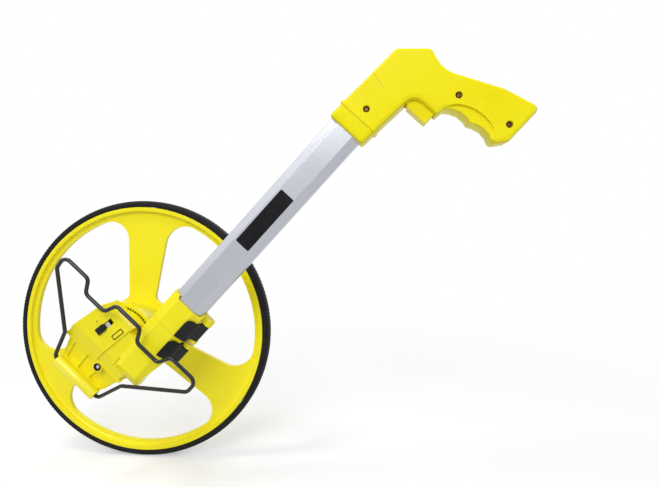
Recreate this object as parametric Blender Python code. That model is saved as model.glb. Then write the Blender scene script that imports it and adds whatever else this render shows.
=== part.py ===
# Measuring wheel: a one metre wheel on a telescoping pole with a pistol handle,
# a counter in the hub housing and a folding wire stand.
# Lengths are in metres, +Z is up, and the outer face of the hub cap is the origin.
# The wheel turns about Y. The housing and the pole are on its -Y side.
# The pole leans in the wheel's plane: along it is "up", across it is "across".

import math

import bmesh
import bpy
from mathutils import Matrix, Vector

# Shared fits
seat_gap = 0.0003          # between pieces that sit face to face
running_gap = 0.0005       # round a shaft or between sliding tubes
overrun = 0.002            # how far a cutter runs past what it cuts
round_steps = 72           # faces round the wheel's large rings
cup_steps = 48             # round the cup
drum_steps = 16
hole_steps = 16
screw_steps = 12
cap_steps = 36
small_steps = 24           # faces round shafts
corner_steps = 4

# Wheel
wheel_circumference = 1.0
tyre_depth = 0.0075        # rubber from seat to tread
tyre_width = 0.019
tread_shoulder = 0.0026    # how far the tyre's sides stay below its crown
tread_fall = 0.0006
rim_width = 0.0186
rim_band = 0.0105          # yellow band between tyre seat and windows
rim_edge = 0.0009
tread_crown_share = 0.72    # of the tyre's half width
tread_flat_share = 0.4
web_thickness = 0.0055
web_rim_front = 0.0045     # web's front face at the rim, from the wheel's middle
web_hub_front = 0.0135     # the same at the hub: the web is dished
hub_radius = 0.033
hub_back = 0.011
hub_back_share = 0.8       # of the hub radius: its flat back
spoke_count = 3
spoke_angle = math.radians(86.3)
spoke_root_half = 0.0165
spoke_flare = math.radians(6.0)
window_inner_radius = 0.0425
window_outer_round = 0.030
window_inner_round = 0.008
window_outer_steps = 8
window_inner_steps = 5
axle_radius = 0.005
bush_wall = 0.0025
bush_length = 0.012

# Drive ring and hub cup
ring_teeth = 80
ring_pitch_radius = 0.0388
ring_tooth_height = 0.0028
ring_root_share = 0.22      # of the pitch, each side of a tooth's middle
ring_tip_share = 0.11
ring_lip = 0.0033
ring_width = 0.0065
ring_front = 0.0675        # front face, from the wheel's middle
cup_wall = 0.0025
cup_flange = 0.0030
sleeve_wall = 0.0030
hub_screw_circle = 0.0265
hub_screw_radius = 0.0018
hub_screw_head = 0.0033
hub_screw_head_height = 0.0018
screw_crown_share = 0.6    # flat top of a screw's head
screw_edge_share = 0.35    # height of its straight edge
hub_cap_radius = 0.0205
hub_cap_thickness = 0.0024
hub_cap_depth = 0.0090
hub_cap_edge = 0.0008

# Pole
pole_angle = math.radians(47.4)   # above level
pole_across = 0.0360       # pole's middle from the axle, across the pole
pole_rise = 0.0100         # pole's middle in front of the housing's plate
tube_half_width = 0.0185
tube_half_depth = 0.0100
tube_chamfer_width = 0.0085
tube_chamfer_depth = 0.0045
tube_round = 0.0012
tube_wall = 0.0012
outer_tube_length = 0.2979
outer_tube_seat = 0.0143   # foot of the outer tube above its collar's foot
middle_tube_seat = 0.0160
middle_tube_tuck = 0.0200  # middle tube's top below the outer tube's
inner_tube_tuck = 0.0170
socket_floor = 0.0190      # inner tube's foot above the neck's foot
plug_depth = 0.0080
plug_brim = 0.0015

# Collars and levers
collar_wall = 0.0024
collar_height = 0.0358
lower_collar_height = 0.0314
scoop_left = -0.0125       # the upper collar's mouth is cut lower in front
scoop_right = 0.0190
scoop_depth = 0.0038
scoop_round = 0.0034
ear_round = 0.0055
ear_steps = 8
ear_root = 0.0190          # how far in the ears start, across from the pole
upper_ears = ((0.0012, 0.0052), (0.0262, 0.0338))
lower_ears = ((0.0012, 0.0066), (0.0248, 0.0298))
lever_rise = 0.0013        # lever's foot above its collar's foot
lower_lever_rise = 0.0045
lever_pin_radius = 0.0014
lever_pin_across = 0.0268
lever_pin_back = 0.0060    # behind the pole's middle
lever_knuckle = 0.0047
lever_length = 0.0240
lever_thickness = 0.0027
lever_tip = 0.0110
lever_corner = 0.0060      # rounding of its free upper corner
lever_bend = 0.0048        # outer rounding where it turns to the side
lever_root = 0.0005        # where the paddle ends, in front of the pole's middle
knuckle_gap = 0.0005
knuckle_turn = math.radians(240)
knuckle_steps = 12
slit_width = 0.0014
slit_back = 0.0035

# Hub housing
housing_clearance = 0.0005 # between the drive ring and the plate
plate_thickness = 0.0020
rim_cover = 0.0006         # how far the plate's round edge covers the ring's tips
rim_rise = 0.0025          # of that edge past the plate's straight top
rim_steps = 20
flank_rise = 0.0100        # in front of the plate
cover_rise = 0.0210        # the counter cover's front face, in front of the plate
block_drop = 0.0022        # the step beside the cover
housing_left = -0.0420
housing_right = 0.0345
housing_top_left = -0.0296
housing_shoulder = -0.0080 # where the left side starts to slant
slant_across = -0.0356
slant_top = 0.0180
housing_foot = -0.0500
shelf = 0.0008             # plate's edge round the parts that stand on it
axle_boss_radius = 0.0090
cover_right = 0.0006         # at its foot
cover_lean = math.radians(9)   # of its right side and its slot, towards the pole
cover_foot = -0.0195
lip_level = -0.0235
lip_thickness = 0.0032
lip_overhang = 0.0018
lip_rise = 0.0050          # in front of the flank
ridge_level = -0.0060
bevel_drop = 0.0042
cover_wall = 0.0020
flank_shoulder = -0.0220
pocket_foot = -0.0465
pocket_top = -0.0270
pocket_width = 0.0150
pocket_pitch = 0.0185
pocket_depth = 0.0030
pocket_round = 0.0020
pocket_count = 3
pocket_lean_share = 0.18    # how the pockets fan out
neck_foot = -0.0120
neck_top = 0.0287
neck_bevel_top = -0.0040
neck_bevel_drop = 0.0055
neck_waist = 0.0046        # how far the neck's free side is drawn in
neck_waist_level = -0.0030
neck_waist_steps = 8
block_foot = -0.0210
groove_across = 0.0185
groove_width = 0.0030
groove_depth = 0.0020
groove_foot = -0.0170
groove_top = 0.0010
barrel_level = -0.0520
barrel_radius = 0.0060
barrel_rise = 0.0055       # its middle in front of the flank
barrel_left = -0.0315
barrel_right = 0.0255
barrel_inset = 0.0030      # the barrel's support stops this far from its ends
boss_across = 0.0072
boss_level = -0.0265
boss_radius = 0.0052
boss_rise = 0.0062         # in front of the flank
screw_recess_radius = 0.0036
screw_recess_depth = 0.0030
cover_screw_radius = 0.0016
cover_screw_head = 0.0031
cover_screw_head_height = 0.0020
cover_screw_length = 0.0100

# Nuts and axle ends
nut_radius = 0.0080
nut_thickness = 0.0042
axle_stub = 0.0012         # axle past its nuts

# Counter
pinion_teeth = 20
pinion_root = 0.0081
pinion_tip = 0.0108
pinion_root_share = 0.25    # of the pitch, each side of a tooth's middle
pinion_pitch_share = 0.17
pinion_tip_share = 0.06
pinion_width = 0.0055
pinion_setback = 0.0005    # pinion's front face behind the ring's
shaft_radius = 0.0015
drum_count = 5
drum_radius = 0.0081
drum_width = 0.0030
drum_pitch = 0.0034
drum_start = 0.0012        # first drum in front of the plate
drum_step = 0.0006
lens_length = 0.0120
lens_sill = 0.0025         # in front of the plate
lens_margin = 0.0030       # behind the cover's face
lens_thickness = 0.0012
lens_frame = 0.0010
slider_width = 0.0074
slider_length = 0.0106
slider_height = 0.0022
slider_across = -0.0161
slider_foot = 0.0048
slider_inset = 0.0009
slider_plate_half = 0.0040
slider_plate_thickness = 0.0012
slider_travel = 0.0112

# Wire stand
wire_radius = 0.0021
wire_bend = 0.0062
foot_bend = 0.0081
wire_bend_steps = 4
stand_lean = math.radians(11.3)
stand_pin_depth = 0.0075
stand_side_gap = 0.0042    # from the barrel's end to the middle of the wire
stand_knee_half = 0.0420
stand_knee_height = 0.0330
foot_shift = 0.0065
foot_half = 0.0945
foot_corner_height = 0.0850
foot_height = 0.1015
step_outer_half = 0.0592
step_inner_half = 0.0522
step_shift = 0.0057
bump_outer_half = 0.0235
bump_inner_half = 0.0170
bump_shift = 0.0042
step_height = 0.0860

# Handle: levels are above its foot
tube_in_handle = 0.0335
socket_left_width = 0.0213
socket_right_width = 0.0225
handle_half_thickness = 0.0150
handle_edge = 0.0045
handle_edge_share = 0.3
handle_split = 0.0003
band_level = 0.0160
band_height = 0.0035
band_lip = 0.0013
band_round = 0.0045
elbow_across = -0.0165
elbow_level = 0.0913
crown_across = 0.0096
crown_level = 0.1140
dip_across = 0.0330
dip_level = 0.1068
swell_across = 0.0900
swell_level = 0.1318
grip_end = 0.1275          # across from the pole's middle
grip_end_level = 0.1406
heel_inset = 0.0085        # heel, hollow and last screw stand off from the grip's end
heel_level = 0.0861
heel_rise = 0.0105
finger_left = 0.0600
finger_left_level = 0.0794
finger_middle_shares = (0.5, 0.86)   # across and up, from the first cusp to the last
finger_heel_gap = 0.0040
finger_heel_drop = 0.0004
finger_depth = 0.0042
finger_shares = (0.2, 0.5, 0.8)
guard_across = 0.0582
corner_round = 0.0050
foot_round = 0.0030
foot_drop = 0.0010         # how far the handle's foot runs below its datum
long_round = 0.0300
panel_depth = 0.0025
panel_rise = 0.0160
panel_foot = 0.0100        # how far its cutter runs below the fingers
panel_steps = 12
arch_side = 0.0283         # the arch over the trigger
arch_level = 0.0693
arch_round = 0.0120
trigger_left = 0.0302
trigger_right = 0.0553
trigger_level = 0.0566
trigger_height = 0.0160
trigger_middle = 0.0430
trigger_back_height = 0.0250
trigger_half = 0.0090
trigger_round = 0.0015
trigger_pin_across = 0.0215
trigger_pin_level = 0.0626
trigger_pin_radius = 0.0018
trigger_boss = 0.0045
trigger_space = 0.0006     # round the trigger in its chamber
chamber_left = -0.0110
chamber_top = 0.1010
chamber_side_top = 0.0900
pin_seat = 0.0022
hollow_left = 0.0700
hollow_inset = 0.0205
hollow_foot = 0.1020
hollow_wall = 0.0059       # below the grip's top edge
hollow_half = 0.0110
handle_screw_radius = 0.0016
handle_screw_head = 0.0030
handle_screw_head_height = 0.0018
handle_hole_radius = 0.0036
handle_hole_depth = 0.0045
handle_screw_tip = 0.0080  # past the split
tube_screw_across = 0.0026
tube_screw_level = 0.0278
upper_screw_across = 0.0610
upper_screw_level = 0.0972
end_screw_inset = 0.0111
end_screw_rise = 0.0222    # above the heel


def clear_scene():
    for thing in list(bpy.data.objects):
        bpy.data.objects.remove(thing, do_unlink=True)


def surface(name, colour, roughness, metallic=0.0):
    material = bpy.data.materials.new(name)
    material.use_nodes = True
    shader = material.node_tree.nodes["Principled BSDF"]
    shader.inputs["Base Color"].default_value = (*colour, 1.0)
    shader.inputs["Roughness"].default_value = roughness
    shader.inputs["Metallic"].default_value = metallic
    return material


yellow = ((0.91, 0.74, 0.03), 0.36, 0.0)
rubber = ((0.03, 0.03, 0.035), 0.75, 0.0)
silver = ((0.78, 0.80, 0.84), 0.30, 1.0)
black_steel = ((0.03, 0.03, 0.035), 0.30, 0.6)
bright_steel = ((0.60, 0.60, 0.62), 0.28, 1.0)
black_plastic = ((0.04, 0.04, 0.045), 0.45, 0.0)
white_plastic = ((0.86, 0.86, 0.84), 0.45, 0.0)
bronze = ((0.55, 0.42, 0.24), 0.45, 1.0)
clear = ((0.85, 0.88, 0.90), 0.08, 0.0)

# Sizes that follow
wheel_radius = wheel_circumference / (2 * math.pi)
tyre_seat = wheel_radius - tyre_depth
rim_radius = tyre_seat - seat_gap
window_radius = rim_radius - rim_band
bush_radius = axle_radius + running_gap + bush_wall
hub_bore = bush_radius + seat_gap
sleeve_radius = hub_bore + sleeve_wall
ring_back = ring_front - ring_width
sleeve_end = ring_back + ring_width / 2
boss_back = sleeve_end + running_gap
hub_cap_face = -(hub_back + seat_gap + hub_cap_depth)
mesh_angle = pole_angle + math.pi / 2
pinion_pitch_radius = ring_pitch_radius * pinion_teeth / ring_teeth
counter_across = -(ring_pitch_radius - pinion_pitch_radius)
housing_back_face = ring_front + housing_clearance
plate_face = housing_back_face + plate_thickness
plate_rim = ring_pitch_radius - ring_tooth_height / 2 + rim_cover
housing_top = plate_rim - rim_rise
plate_middle = housing_back_face + plate_thickness / 2
flank_face = plate_face + flank_rise
face_depth = plate_face + cover_rise
block_face = face_depth - block_drop
lip_face = flank_face + lip_rise
barrel_depth = flank_face + barrel_rise
boss_face = flank_face + boss_rise
pole_depth = plate_face + pole_rise
cover_back = plate_face + seat_gap
drum_first = plate_face + drum_start
lens_low = plate_face + lens_sill
lens_high = face_depth - lens_margin
slider_plate_length = ((housing_top - shelf - cover_wall - running_gap - slider_foot
                        - slider_plate_half * math.sin(cover_lean))
                       / math.cos(cover_lean) - slider_travel)
barrel_middle = (barrel_left + barrel_right) / 2
step_inset = tube_wall + running_gap
neck_left = pole_across - tube_half_width - collar_wall
middle_inset = step_inset
inner_inset = 2 * step_inset
lower_collar_foot = neck_top + seat_gap
upper_collar_foot = lower_collar_foot + lower_collar_height + seat_gap
outer_tube_foot = upper_collar_foot + outer_tube_seat
middle_tube_foot = lower_collar_foot + middle_tube_seat
inner_tube_foot = neck_foot + socket_floor
outer_tube_top = outer_tube_foot + outer_tube_length
middle_tube_top = outer_tube_top - middle_tube_tuck
inner_tube_top = middle_tube_top - inner_tube_tuck
handle_foot = outer_tube_top - tube_in_handle
chamber_foot = trigger_pin_level - trigger_boss - trigger_space
heel_across = grip_end - heel_inset
hollow_right = grip_end - hollow_inset
finger_end = (heel_across - finger_heel_gap, heel_level - finger_heel_drop)
finger_middle = (finger_left + (finger_end[0] - finger_left) * finger_middle_shares[0],
                 finger_left_level
                 + (finger_end[1] - finger_left_level) * finger_middle_shares[1])
finger_cusps = ((finger_left, finger_left_level), finger_middle, finger_end)
end_screw_across = grip_end - end_screw_inset
end_screw_level = heel_level + end_screw_rise


# Building blocks
def empty(name, parent=None, location=(0, 0, 0), rotation=(0, 0, 0)):
    thing = bpy.data.objects.new(name, None)
    thing.empty_display_size = hub_radius
    thing.location = location
    thing.rotation_euler = rotation
    thing.parent = parent
    bpy.context.collection.objects.link(thing)
    return thing


def add_object(name, data, parent):
    thing = bpy.data.objects.new(name, data)
    thing.parent = parent
    bpy.context.collection.objects.link(thing)
    return thing


def from_bmesh(name, bm, parent):
    bmesh.ops.recalc_face_normals(bm, faces=bm.faces)
    mesh = bpy.data.meshes.new(name)
    bm.to_mesh(mesh)
    bm.free()
    mesh.shade_smooth()
    mesh.set_sharp_from_angle(angle=math.radians(35))
    return add_object(name, mesh, parent)


def finish(thing, look):
    colour, roughness, metallic = look
    thing.data.materials.append(surface(thing.name, colour, roughness, metallic))
    return thing


def lay(axis, a, b, along):
    """A point of a flat outline (a, b), set at a place along the axis."""
    if axis == "depth":
        return (a, -along, b)
    if axis == "across":
        return (along, -a, b)
    return (a, b, along)


def prism(name, outline, axis, start, end, parent):
    """Extrude a closed outline. Outlines are (across, up) for depth,
    (depth, up) for across, and (across, back) for up."""
    bm = bmesh.new()
    base = [bm.verts.new(lay(axis, a, b, start)) for a, b in outline]
    face = bm.faces.new(base)
    grown = bmesh.ops.extrude_face_region(bm, geom=[face])
    shift = Vector(lay(axis, 0, 0, end)) - Vector(lay(axis, 0, 0, start))
    moved = [part for part in grown["geom"] if isinstance(part, bmesh.types.BMVert)]
    bmesh.ops.translate(bm, verts=moved, vec=shift)
    return from_bmesh(name, bm, parent)


def pipe(name, outer, inner, axis, start, end, parent):
    """A hollow prism between two outlines with as many points each."""
    bm = bmesh.new()
    loops = []
    for outline, along in ((outer, start), (outer, end), (inner, end), (inner, start)):
        loops.append([bm.verts.new(lay(axis, a, b, along)) for a, b in outline])
    count = len(outer)
    for here, there in zip(loops, loops[1:] + loops[:1]):
        for i in range(count):
            k = (i + 1) % count
            bm.faces.new((here[i], here[k], there[k], there[i]))
    return from_bmesh(name, bm, parent)


def turned(name, profile, parent, steps=round_steps):
    """Turn a profile of (radius, depth) points about the depth axis.
    The profile is closed, or starts and ends on the axis."""
    bm = bmesh.new()
    rings = []
    for radius, depth in profile:
        if radius == 0:
            rings.append([bm.verts.new((0, -depth, 0))] * steps)
            continue
        rings.append([bm.verts.new((a, -depth, b)) for a, b in circle(radius, steps)])
    pairs = list(zip(rings, rings[1:]))
    if profile[0][0] != 0:
        pairs.append((rings[-1], rings[0]))
    for here, there in pairs:
        for i in range(steps):
            k = (i + 1) % steps
            corners = []
            for vert in (here[i], here[k], there[k], there[i]):
                if vert not in corners:
                    corners.append(vert)
            bm.faces.new(corners)
    return from_bmesh(name, bm, parent)


def circle(radius, steps=small_steps, middle=(0, 0)):
    return [(middle[0] + radius * math.cos(2 * math.pi * i / steps),
             middle[1] + radius * math.sin(2 * math.pi * i / steps)) for i in range(steps)]


def polar(radius, angle):
    return (radius * math.cos(angle), radius * math.sin(angle))


def rounded(corners, steps=4):
    """Round each corner (a, b, radius) of a closed outline with an arc."""
    points = []
    count = len(corners)
    for i, (a, b, radius) in enumerate(corners):
        here = Vector((a, b))
        before = Vector(corners[i - 1][:2]) - here
        after = Vector(corners[(i + 1) % count][:2]) - here
        if radius == 0:
            points.append((a, b))
            continue
        points += corner_arc(here, before, after, radius, steps)
    return points


def corner_arc(here, before, after, radius, steps):
    half = before.angle(after) / 2
    reach = radius / math.tan(half)
    limit = min(before.length, after.length) / 2
    if reach > limit:
        reach = limit
        radius = reach * math.tan(half)
    start = here + before.normalized() * reach
    end = here + after.normalized() * reach
    middle = here + (before.normalized() + after.normalized()).normalized() * (
        math.hypot(reach, radius))
    turn = (start - middle).angle_signed(end - middle)
    arc = []
    for i in range(steps + 1):
        spoke = (start - middle).copy()
        spoke.rotate(Matrix.Rotation(-turn * i / steps, 2))
        arc.append(tuple(middle + spoke))
    return arc


def grow(outline, distance):
    """Offset a closed outline outward, keeping its corners."""
    area = sum(outline[i - 1][0] * outline[i][1] - outline[i][0] * outline[i - 1][1]
               for i in range(len(outline)))
    side = distance if area > 0 else -distance
    points = []
    for i, here in enumerate(outline):
        here = Vector(here)
        before = (here - Vector(outline[i - 1])).normalized()
        after = (Vector(outline[(i + 1) % len(outline)]) - here).normalized()
        normals = Vector((before.y, -before.x)) + Vector((after.y, -after.x))
        points.append(tuple(here + normals * (2 * side / normals.length_squared)))
    return points


def wire(name, points, radius, parent, resolution=1):
    curve = bpy.data.curves.new(name, "CURVE")
    curve.dimensions = "3D"
    curve.bevel_depth = radius
    curve.bevel_resolution = resolution
    curve.use_fill_caps = True
    spline = curve.splines.new("POLY")
    spline.points.add(len(points) - 1)
    for point, place in zip(spline.points, points):
        point.co = (*place, 1)
    return add_object(name, curve, parent)


def soften(thing, width, segments=2):
    bevel = thing.modifiers.new("soft edges", "BEVEL")
    bevel.width = width
    bevel.segments = segments
    bevel.limit_method = "ANGLE"
    bevel.angle_limit = math.radians(40)
    return thing


def combine(thing, others, operation):
    for other in others:
        other.hide_render = True
        other.display_type = "WIRE"
        change = thing.modifiers.new(other.name, "BOOLEAN")
        change.operation = operation
        change.solver = "EXACT"
        change.object = other
    return thing


def cut(thing, *others):
    return combine(thing, others, "DIFFERENCE")


def join(thing, *others):
    return combine(thing, others, "UNION")


def rod(name, middle, radius, axis, start, end, parent, steps=small_steps):
    return prism(name, circle(radius, steps, middle), axis, start, end, parent)


def block(name, low, high, parent):
    """A box between two corners (across, depth, up)."""
    outline = [(low[0], low[2]), (high[0], low[2]), (high[0], high[2]), (low[0], high[2])]
    return prism(name, outline, "depth", low[1], high[1], parent)


# Wheel
def make_tyre(parent):
    half = tyre_width / 2
    crown = wheel_radius - tread_fall
    side = wheel_radius - tread_shoulder
    shoulder, flat = half * tread_crown_share, half * tread_flat_share
    profile = [(tyre_seat, half), (side, half), (crown, shoulder), (wheel_radius, flat),
               (wheel_radius, -flat), (crown, -shoulder), (side, -half), (tyre_seat, -half)]
    return finish(turned("tyre", profile, parent), rubber)


def window_outline(middle_angle):
    """One opening between two spokes, with round corners."""
    sector = math.pi / spoke_count

    def edge(radius, side):
        half = spoke_root_half + (radius - window_inner_radius) * math.tan(spoke_flare)
        return middle_angle + side * (sector - math.asin(half / radius))

    corners = []
    low, high = edge(window_radius, -1), edge(window_radius, 1)
    corners.append((*polar(window_radius, low), window_outer_round))
    for i in range(1, window_outer_steps):
        share = i / window_outer_steps
        corners.append((*polar(window_radius, low + (high - low) * share), 0))
    corners.append((*polar(window_radius, high), window_outer_round))
    low, high = edge(window_inner_radius, -1), edge(window_inner_radius, 1)
    corners.append((*polar(window_inner_radius, high), window_inner_round))
    for i in range(1, window_inner_steps):
        share = i / window_inner_steps
        corners.append((*polar(window_inner_radius, high + (low - high) * share), 0))
    corners.append((*polar(window_inner_radius, low), window_inner_round))
    return rounded(corners, 6)


def make_wheel(parent):
    half = rim_width / 2
    edge = rim_edge
    wall = window_radius + edge
    web_back_rim = web_rim_front - web_thickness
    web_back_hub = web_hub_front - web_thickness
    profile = [(rim_radius, half - edge), (rim_radius - edge, half),
               (wall + edge, half), (wall, half - edge), (window_radius - edge, web_rim_front),
               (hub_radius, web_hub_front), (sleeve_radius, web_hub_front),
               (sleeve_radius, sleeve_end), (hub_bore, sleeve_end), (hub_bore, -hub_back),
               (hub_radius * hub_back_share, -hub_back), (hub_radius, web_back_hub),
               (window_radius - edge, web_back_rim), (wall, edge - half),
               (wall + edge, -half), (rim_radius - edge, -half), (rim_radius, edge - half)]
    wheel = turned("wheel", profile, parent)
    for i in range(spoke_count):
        middle = spoke_angle + math.pi / spoke_count + 2 * math.pi * i / spoke_count
        opening = prism(f"window_cut_{i + 1}", window_outline(middle), "depth",
                        -half, web_hub_front + overrun, parent)
        cut(wheel, opening)
    for i in range(spoke_count):
        angle = spoke_angle + 2 * math.pi * i / spoke_count
        hole = rod(f"hub_screw_cut_{i + 1}", polar(hub_screw_circle, angle),
                   hub_screw_radius + seat_gap, "depth", -hub_back - overrun,
                   web_hub_front + overrun, parent, screw_steps)
        cut(wheel, hole)
    return finish(wheel, yellow)


def make_hub_cup(parent):
    """The cup that carries the drive ring out from the wheel to the counter."""
    back = web_hub_front + seat_gap
    front = ring_back - seat_gap
    outer = ring_pitch_radius + ring_tooth_height / 2 + ring_lip
    bore = sleeve_radius + seat_gap
    profile = [(bore, back), (hub_radius, back), (outer, front), (outer - cup_wall, front),
               (hub_radius - cup_wall, back + cup_flange), (bore, back + cup_flange)]
    cup = turned("hub_cup", profile, parent, cup_steps)
    for i in range(spoke_count):
        angle = spoke_angle + 2 * math.pi * i / spoke_count
        cut(cup, rod(f"cup_screw_cut_{i + 1}", polar(hub_screw_circle, angle),
                     hub_screw_radius + seat_gap, "depth", back - overrun,
                     back + cup_flange + overrun, parent, screw_steps))
    return finish(cup, yellow)


def make_drive_ring(parent):
    """Internal gear on the cup's mouth, with a gap where the pinion meshes."""
    root = ring_pitch_radius + ring_tooth_height / 2
    tip = ring_pitch_radius - ring_tooth_height / 2
    pitch = 2 * math.pi / ring_teeth
    teeth = []
    for k in range(ring_teeth):
        middle = mesh_angle + (k + 0.5) * pitch
        for radius, share in ((root, -ring_root_share), (tip, -ring_tip_share),
                              (tip, ring_tip_share), (root, ring_root_share)):
            teeth.append(polar(radius, middle + share * pitch))
    ring = rod("drive_ring", (0, 0), root + ring_lip, "depth", ring_back, ring_front,
               parent, cup_steps)
    cut(ring, prism("ring_teeth_cut", teeth, "depth", ring_back - overrun,
                    ring_front + overrun, parent))
    return finish(ring, yellow)


def make_hub_screws(parent):
    for i in range(spoke_count):
        angle = spoke_angle + 2 * math.pi * i / spoke_count
        middle = polar(hub_screw_circle, angle)
        head = web_hub_front + seat_gap + cup_flange + seat_gap
        place = empty(f"hub_screw_place_{i + 1}", parent, (middle[0], -head, middle[1]))
        screw(f"hub_screw_{i + 1}", place, hub_screw_radius, hub_screw_head,
              hub_screw_head_height, head - web_hub_front + web_thickness)


def make_bushes(parent):
    for name, start in (("wheel_bush_near", sleeve_end - bush_length),
                        ("wheel_bush_far", -hub_back)):
        inner = axle_radius + running_gap
        profile = [(inner, start), (bush_radius, start), (bush_radius, start + bush_length),
                   (inner, start + bush_length)]
        finish(turned(name, profile, parent, small_steps), bronze)


def make_hub_cap(parent):
    face = hub_cap_face
    open_edge = -hub_back - seat_gap
    inner = hub_cap_radius - hub_cap_thickness
    profile = [(0, face), (hub_cap_radius - hub_cap_edge, face),
               (hub_cap_radius, face + hub_cap_edge), (hub_cap_radius, open_edge),
               (inner, open_edge), (inner, face + hub_cap_thickness),
               (0, face + hub_cap_thickness)]
    return finish(turned("hub_cap", profile, parent, cap_steps), yellow)


def make_axle(parent):
    far_end = -hub_back - running_gap
    near_end = plate_face + seat_gap
    start = far_end - nut_thickness - axle_stub
    end = near_end + nut_thickness + axle_stub
    finish(rod("axle", (0, 0), axle_radius, "depth", start, end, parent), bright_steel)
    for name, place in (("axle_nut_outer", far_end - nut_thickness), ("axle_nut_inner", near_end)):
        nut = rod(name, (0, 0), nut_radius, "depth", place, place + nut_thickness, parent, 6)
        bore = rod(name + "_bore_cut", (0, 0), axle_radius + seat_gap, "depth",
                   place - overrun, place + nut_thickness + overrun, parent)
        finish(cut(nut, bore), bright_steel)


# Hub housing
def bevel_wedge(name, face, top, foot, drop, left, right, parent):
    """A cutter that slopes a front face down from one level to a lower one."""
    slope = Vector((-drop, foot - top)).normalized() * overrun
    high = (face - slope.x, top - slope.y)
    low = (face - drop + slope.x, foot + slope.y)
    return prism(name, [high, low, (high[0], low[1])], "across",
                 left - overrun, right + overrun, parent)


def rim_arc():
    """The plate's round edge in front of the drive ring, from its straight top to the neck."""
    first = math.pi - math.asin(housing_top / plate_rim)
    last = math.acos((neck_left - running_gap) / plate_rim)
    return [polar(plate_rim, first + (last - first) * i / rim_steps)
            for i in range(rim_steps + 1)]


def cover_side(level):
    """How far across the cover's right side is."""
    return cover_right + (level - cover_foot) * math.tan(cover_lean)


def housing_outline(inset=0):
    corners = [(barrel_left, housing_foot), (housing_left, flank_shoulder),
               (housing_left, housing_shoulder), (slant_across, slant_top),
               (housing_top_left, housing_top), *rim_arc(),
               (neck_left - running_gap, neck_top),
               (housing_right, neck_top), (housing_right, flank_shoulder),
               (barrel_right, housing_foot)]
    return grow(corners, -inset)


def make_housing_body(frame, pole):
    body = prism("hub_housing", housing_outline(), "depth", housing_back_face, plate_face, frame)
    flank_outline = [(barrel_left + shelf, housing_foot + shelf), (housing_left + shelf,
                     flank_shoulder), (housing_right - shelf, flank_shoulder),
                     (barrel_right - shelf, housing_foot + shelf)]
    flank = prism("flank_tool", flank_outline, "depth", plate_middle, flank_face, frame)
    block_tool = prism("block_tool", [(cover_side(block_foot) + seat_gap, block_foot),
                       (housing_right - shelf, block_foot),
                       (housing_right - shelf, neck_top - shelf),
                       (cover_side(neck_top) + seat_gap, neck_top - shelf)],
                       "depth", plate_middle, block_face, frame)
    cut(block_tool, bevel_wedge("block_bevel_cut", block_face, ridge_level, block_foot,
                                bevel_drop, cover_right, housing_right, frame))
    neck = prism("neck_tool", tube_section(collar_wall), "up", neck_foot, neck_top, pole)
    neck_face = pole_depth + tube_half_depth + collar_wall
    cut(neck, bevel_wedge("neck_bevel_cut", neck_face, neck_bevel_top, neck_foot,
                          neck_bevel_drop, 0, pole_across * 2, frame))
    reach = tube_half_depth + collar_wall + overrun
    cut(neck, prism("neck_waist_cut", waist_outline(), "depth", -reach, reach, pole))
    lip = block("lip_tool", (housing_left - lip_overhang, flank_face - shelf, lip_level),
                (housing_right + lip_overhang, lip_face, lip_level + lip_thickness), frame)
    support = prism("support_tool", [(plate_middle, housing_foot + shelf),
                    (flank_face, barrel_level - barrel_radius / 2),
                    (barrel_depth, barrel_level - barrel_radius + shelf),
                    (barrel_depth, barrel_level + barrel_radius - shelf),
                    (flank_face - shelf, pocket_foot)],
                    "across", barrel_left + barrel_inset, barrel_right - barrel_inset, frame)
    barrel = rod("barrel_tool", (barrel_depth, barrel_level), barrel_radius, "across",
                 barrel_left, barrel_right, frame)
    boss = rod("screw_boss_tool", (boss_across, boss_level), boss_radius, "depth",
               plate_middle, boss_face, frame)
    axle_boss = rod("axle_boss_tool", (0, 0), axle_boss_radius, "depth",
                    boss_back, plate_middle, frame)
    return join(body, flank, block_tool, neck, lip, support, barrel, boss, axle_boss)


def waist_outline():
    """The neck's free side, drawn in below the collar in one smooth curve."""
    side = tube_half_width + collar_wall
    points = []
    for i in range(neck_waist_steps + 1):
        level = neck_top + (neck_foot - overrun - neck_top) * i / neck_waist_steps
        turn = math.pi * (neck_top - level) / (neck_top - neck_waist_level)
        points.append((side - neck_waist * (1 - math.cos(turn)) / 2, level))
    outside = side + overrun
    return points + [(outside, neck_foot - overrun), (outside, neck_top)]


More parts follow.
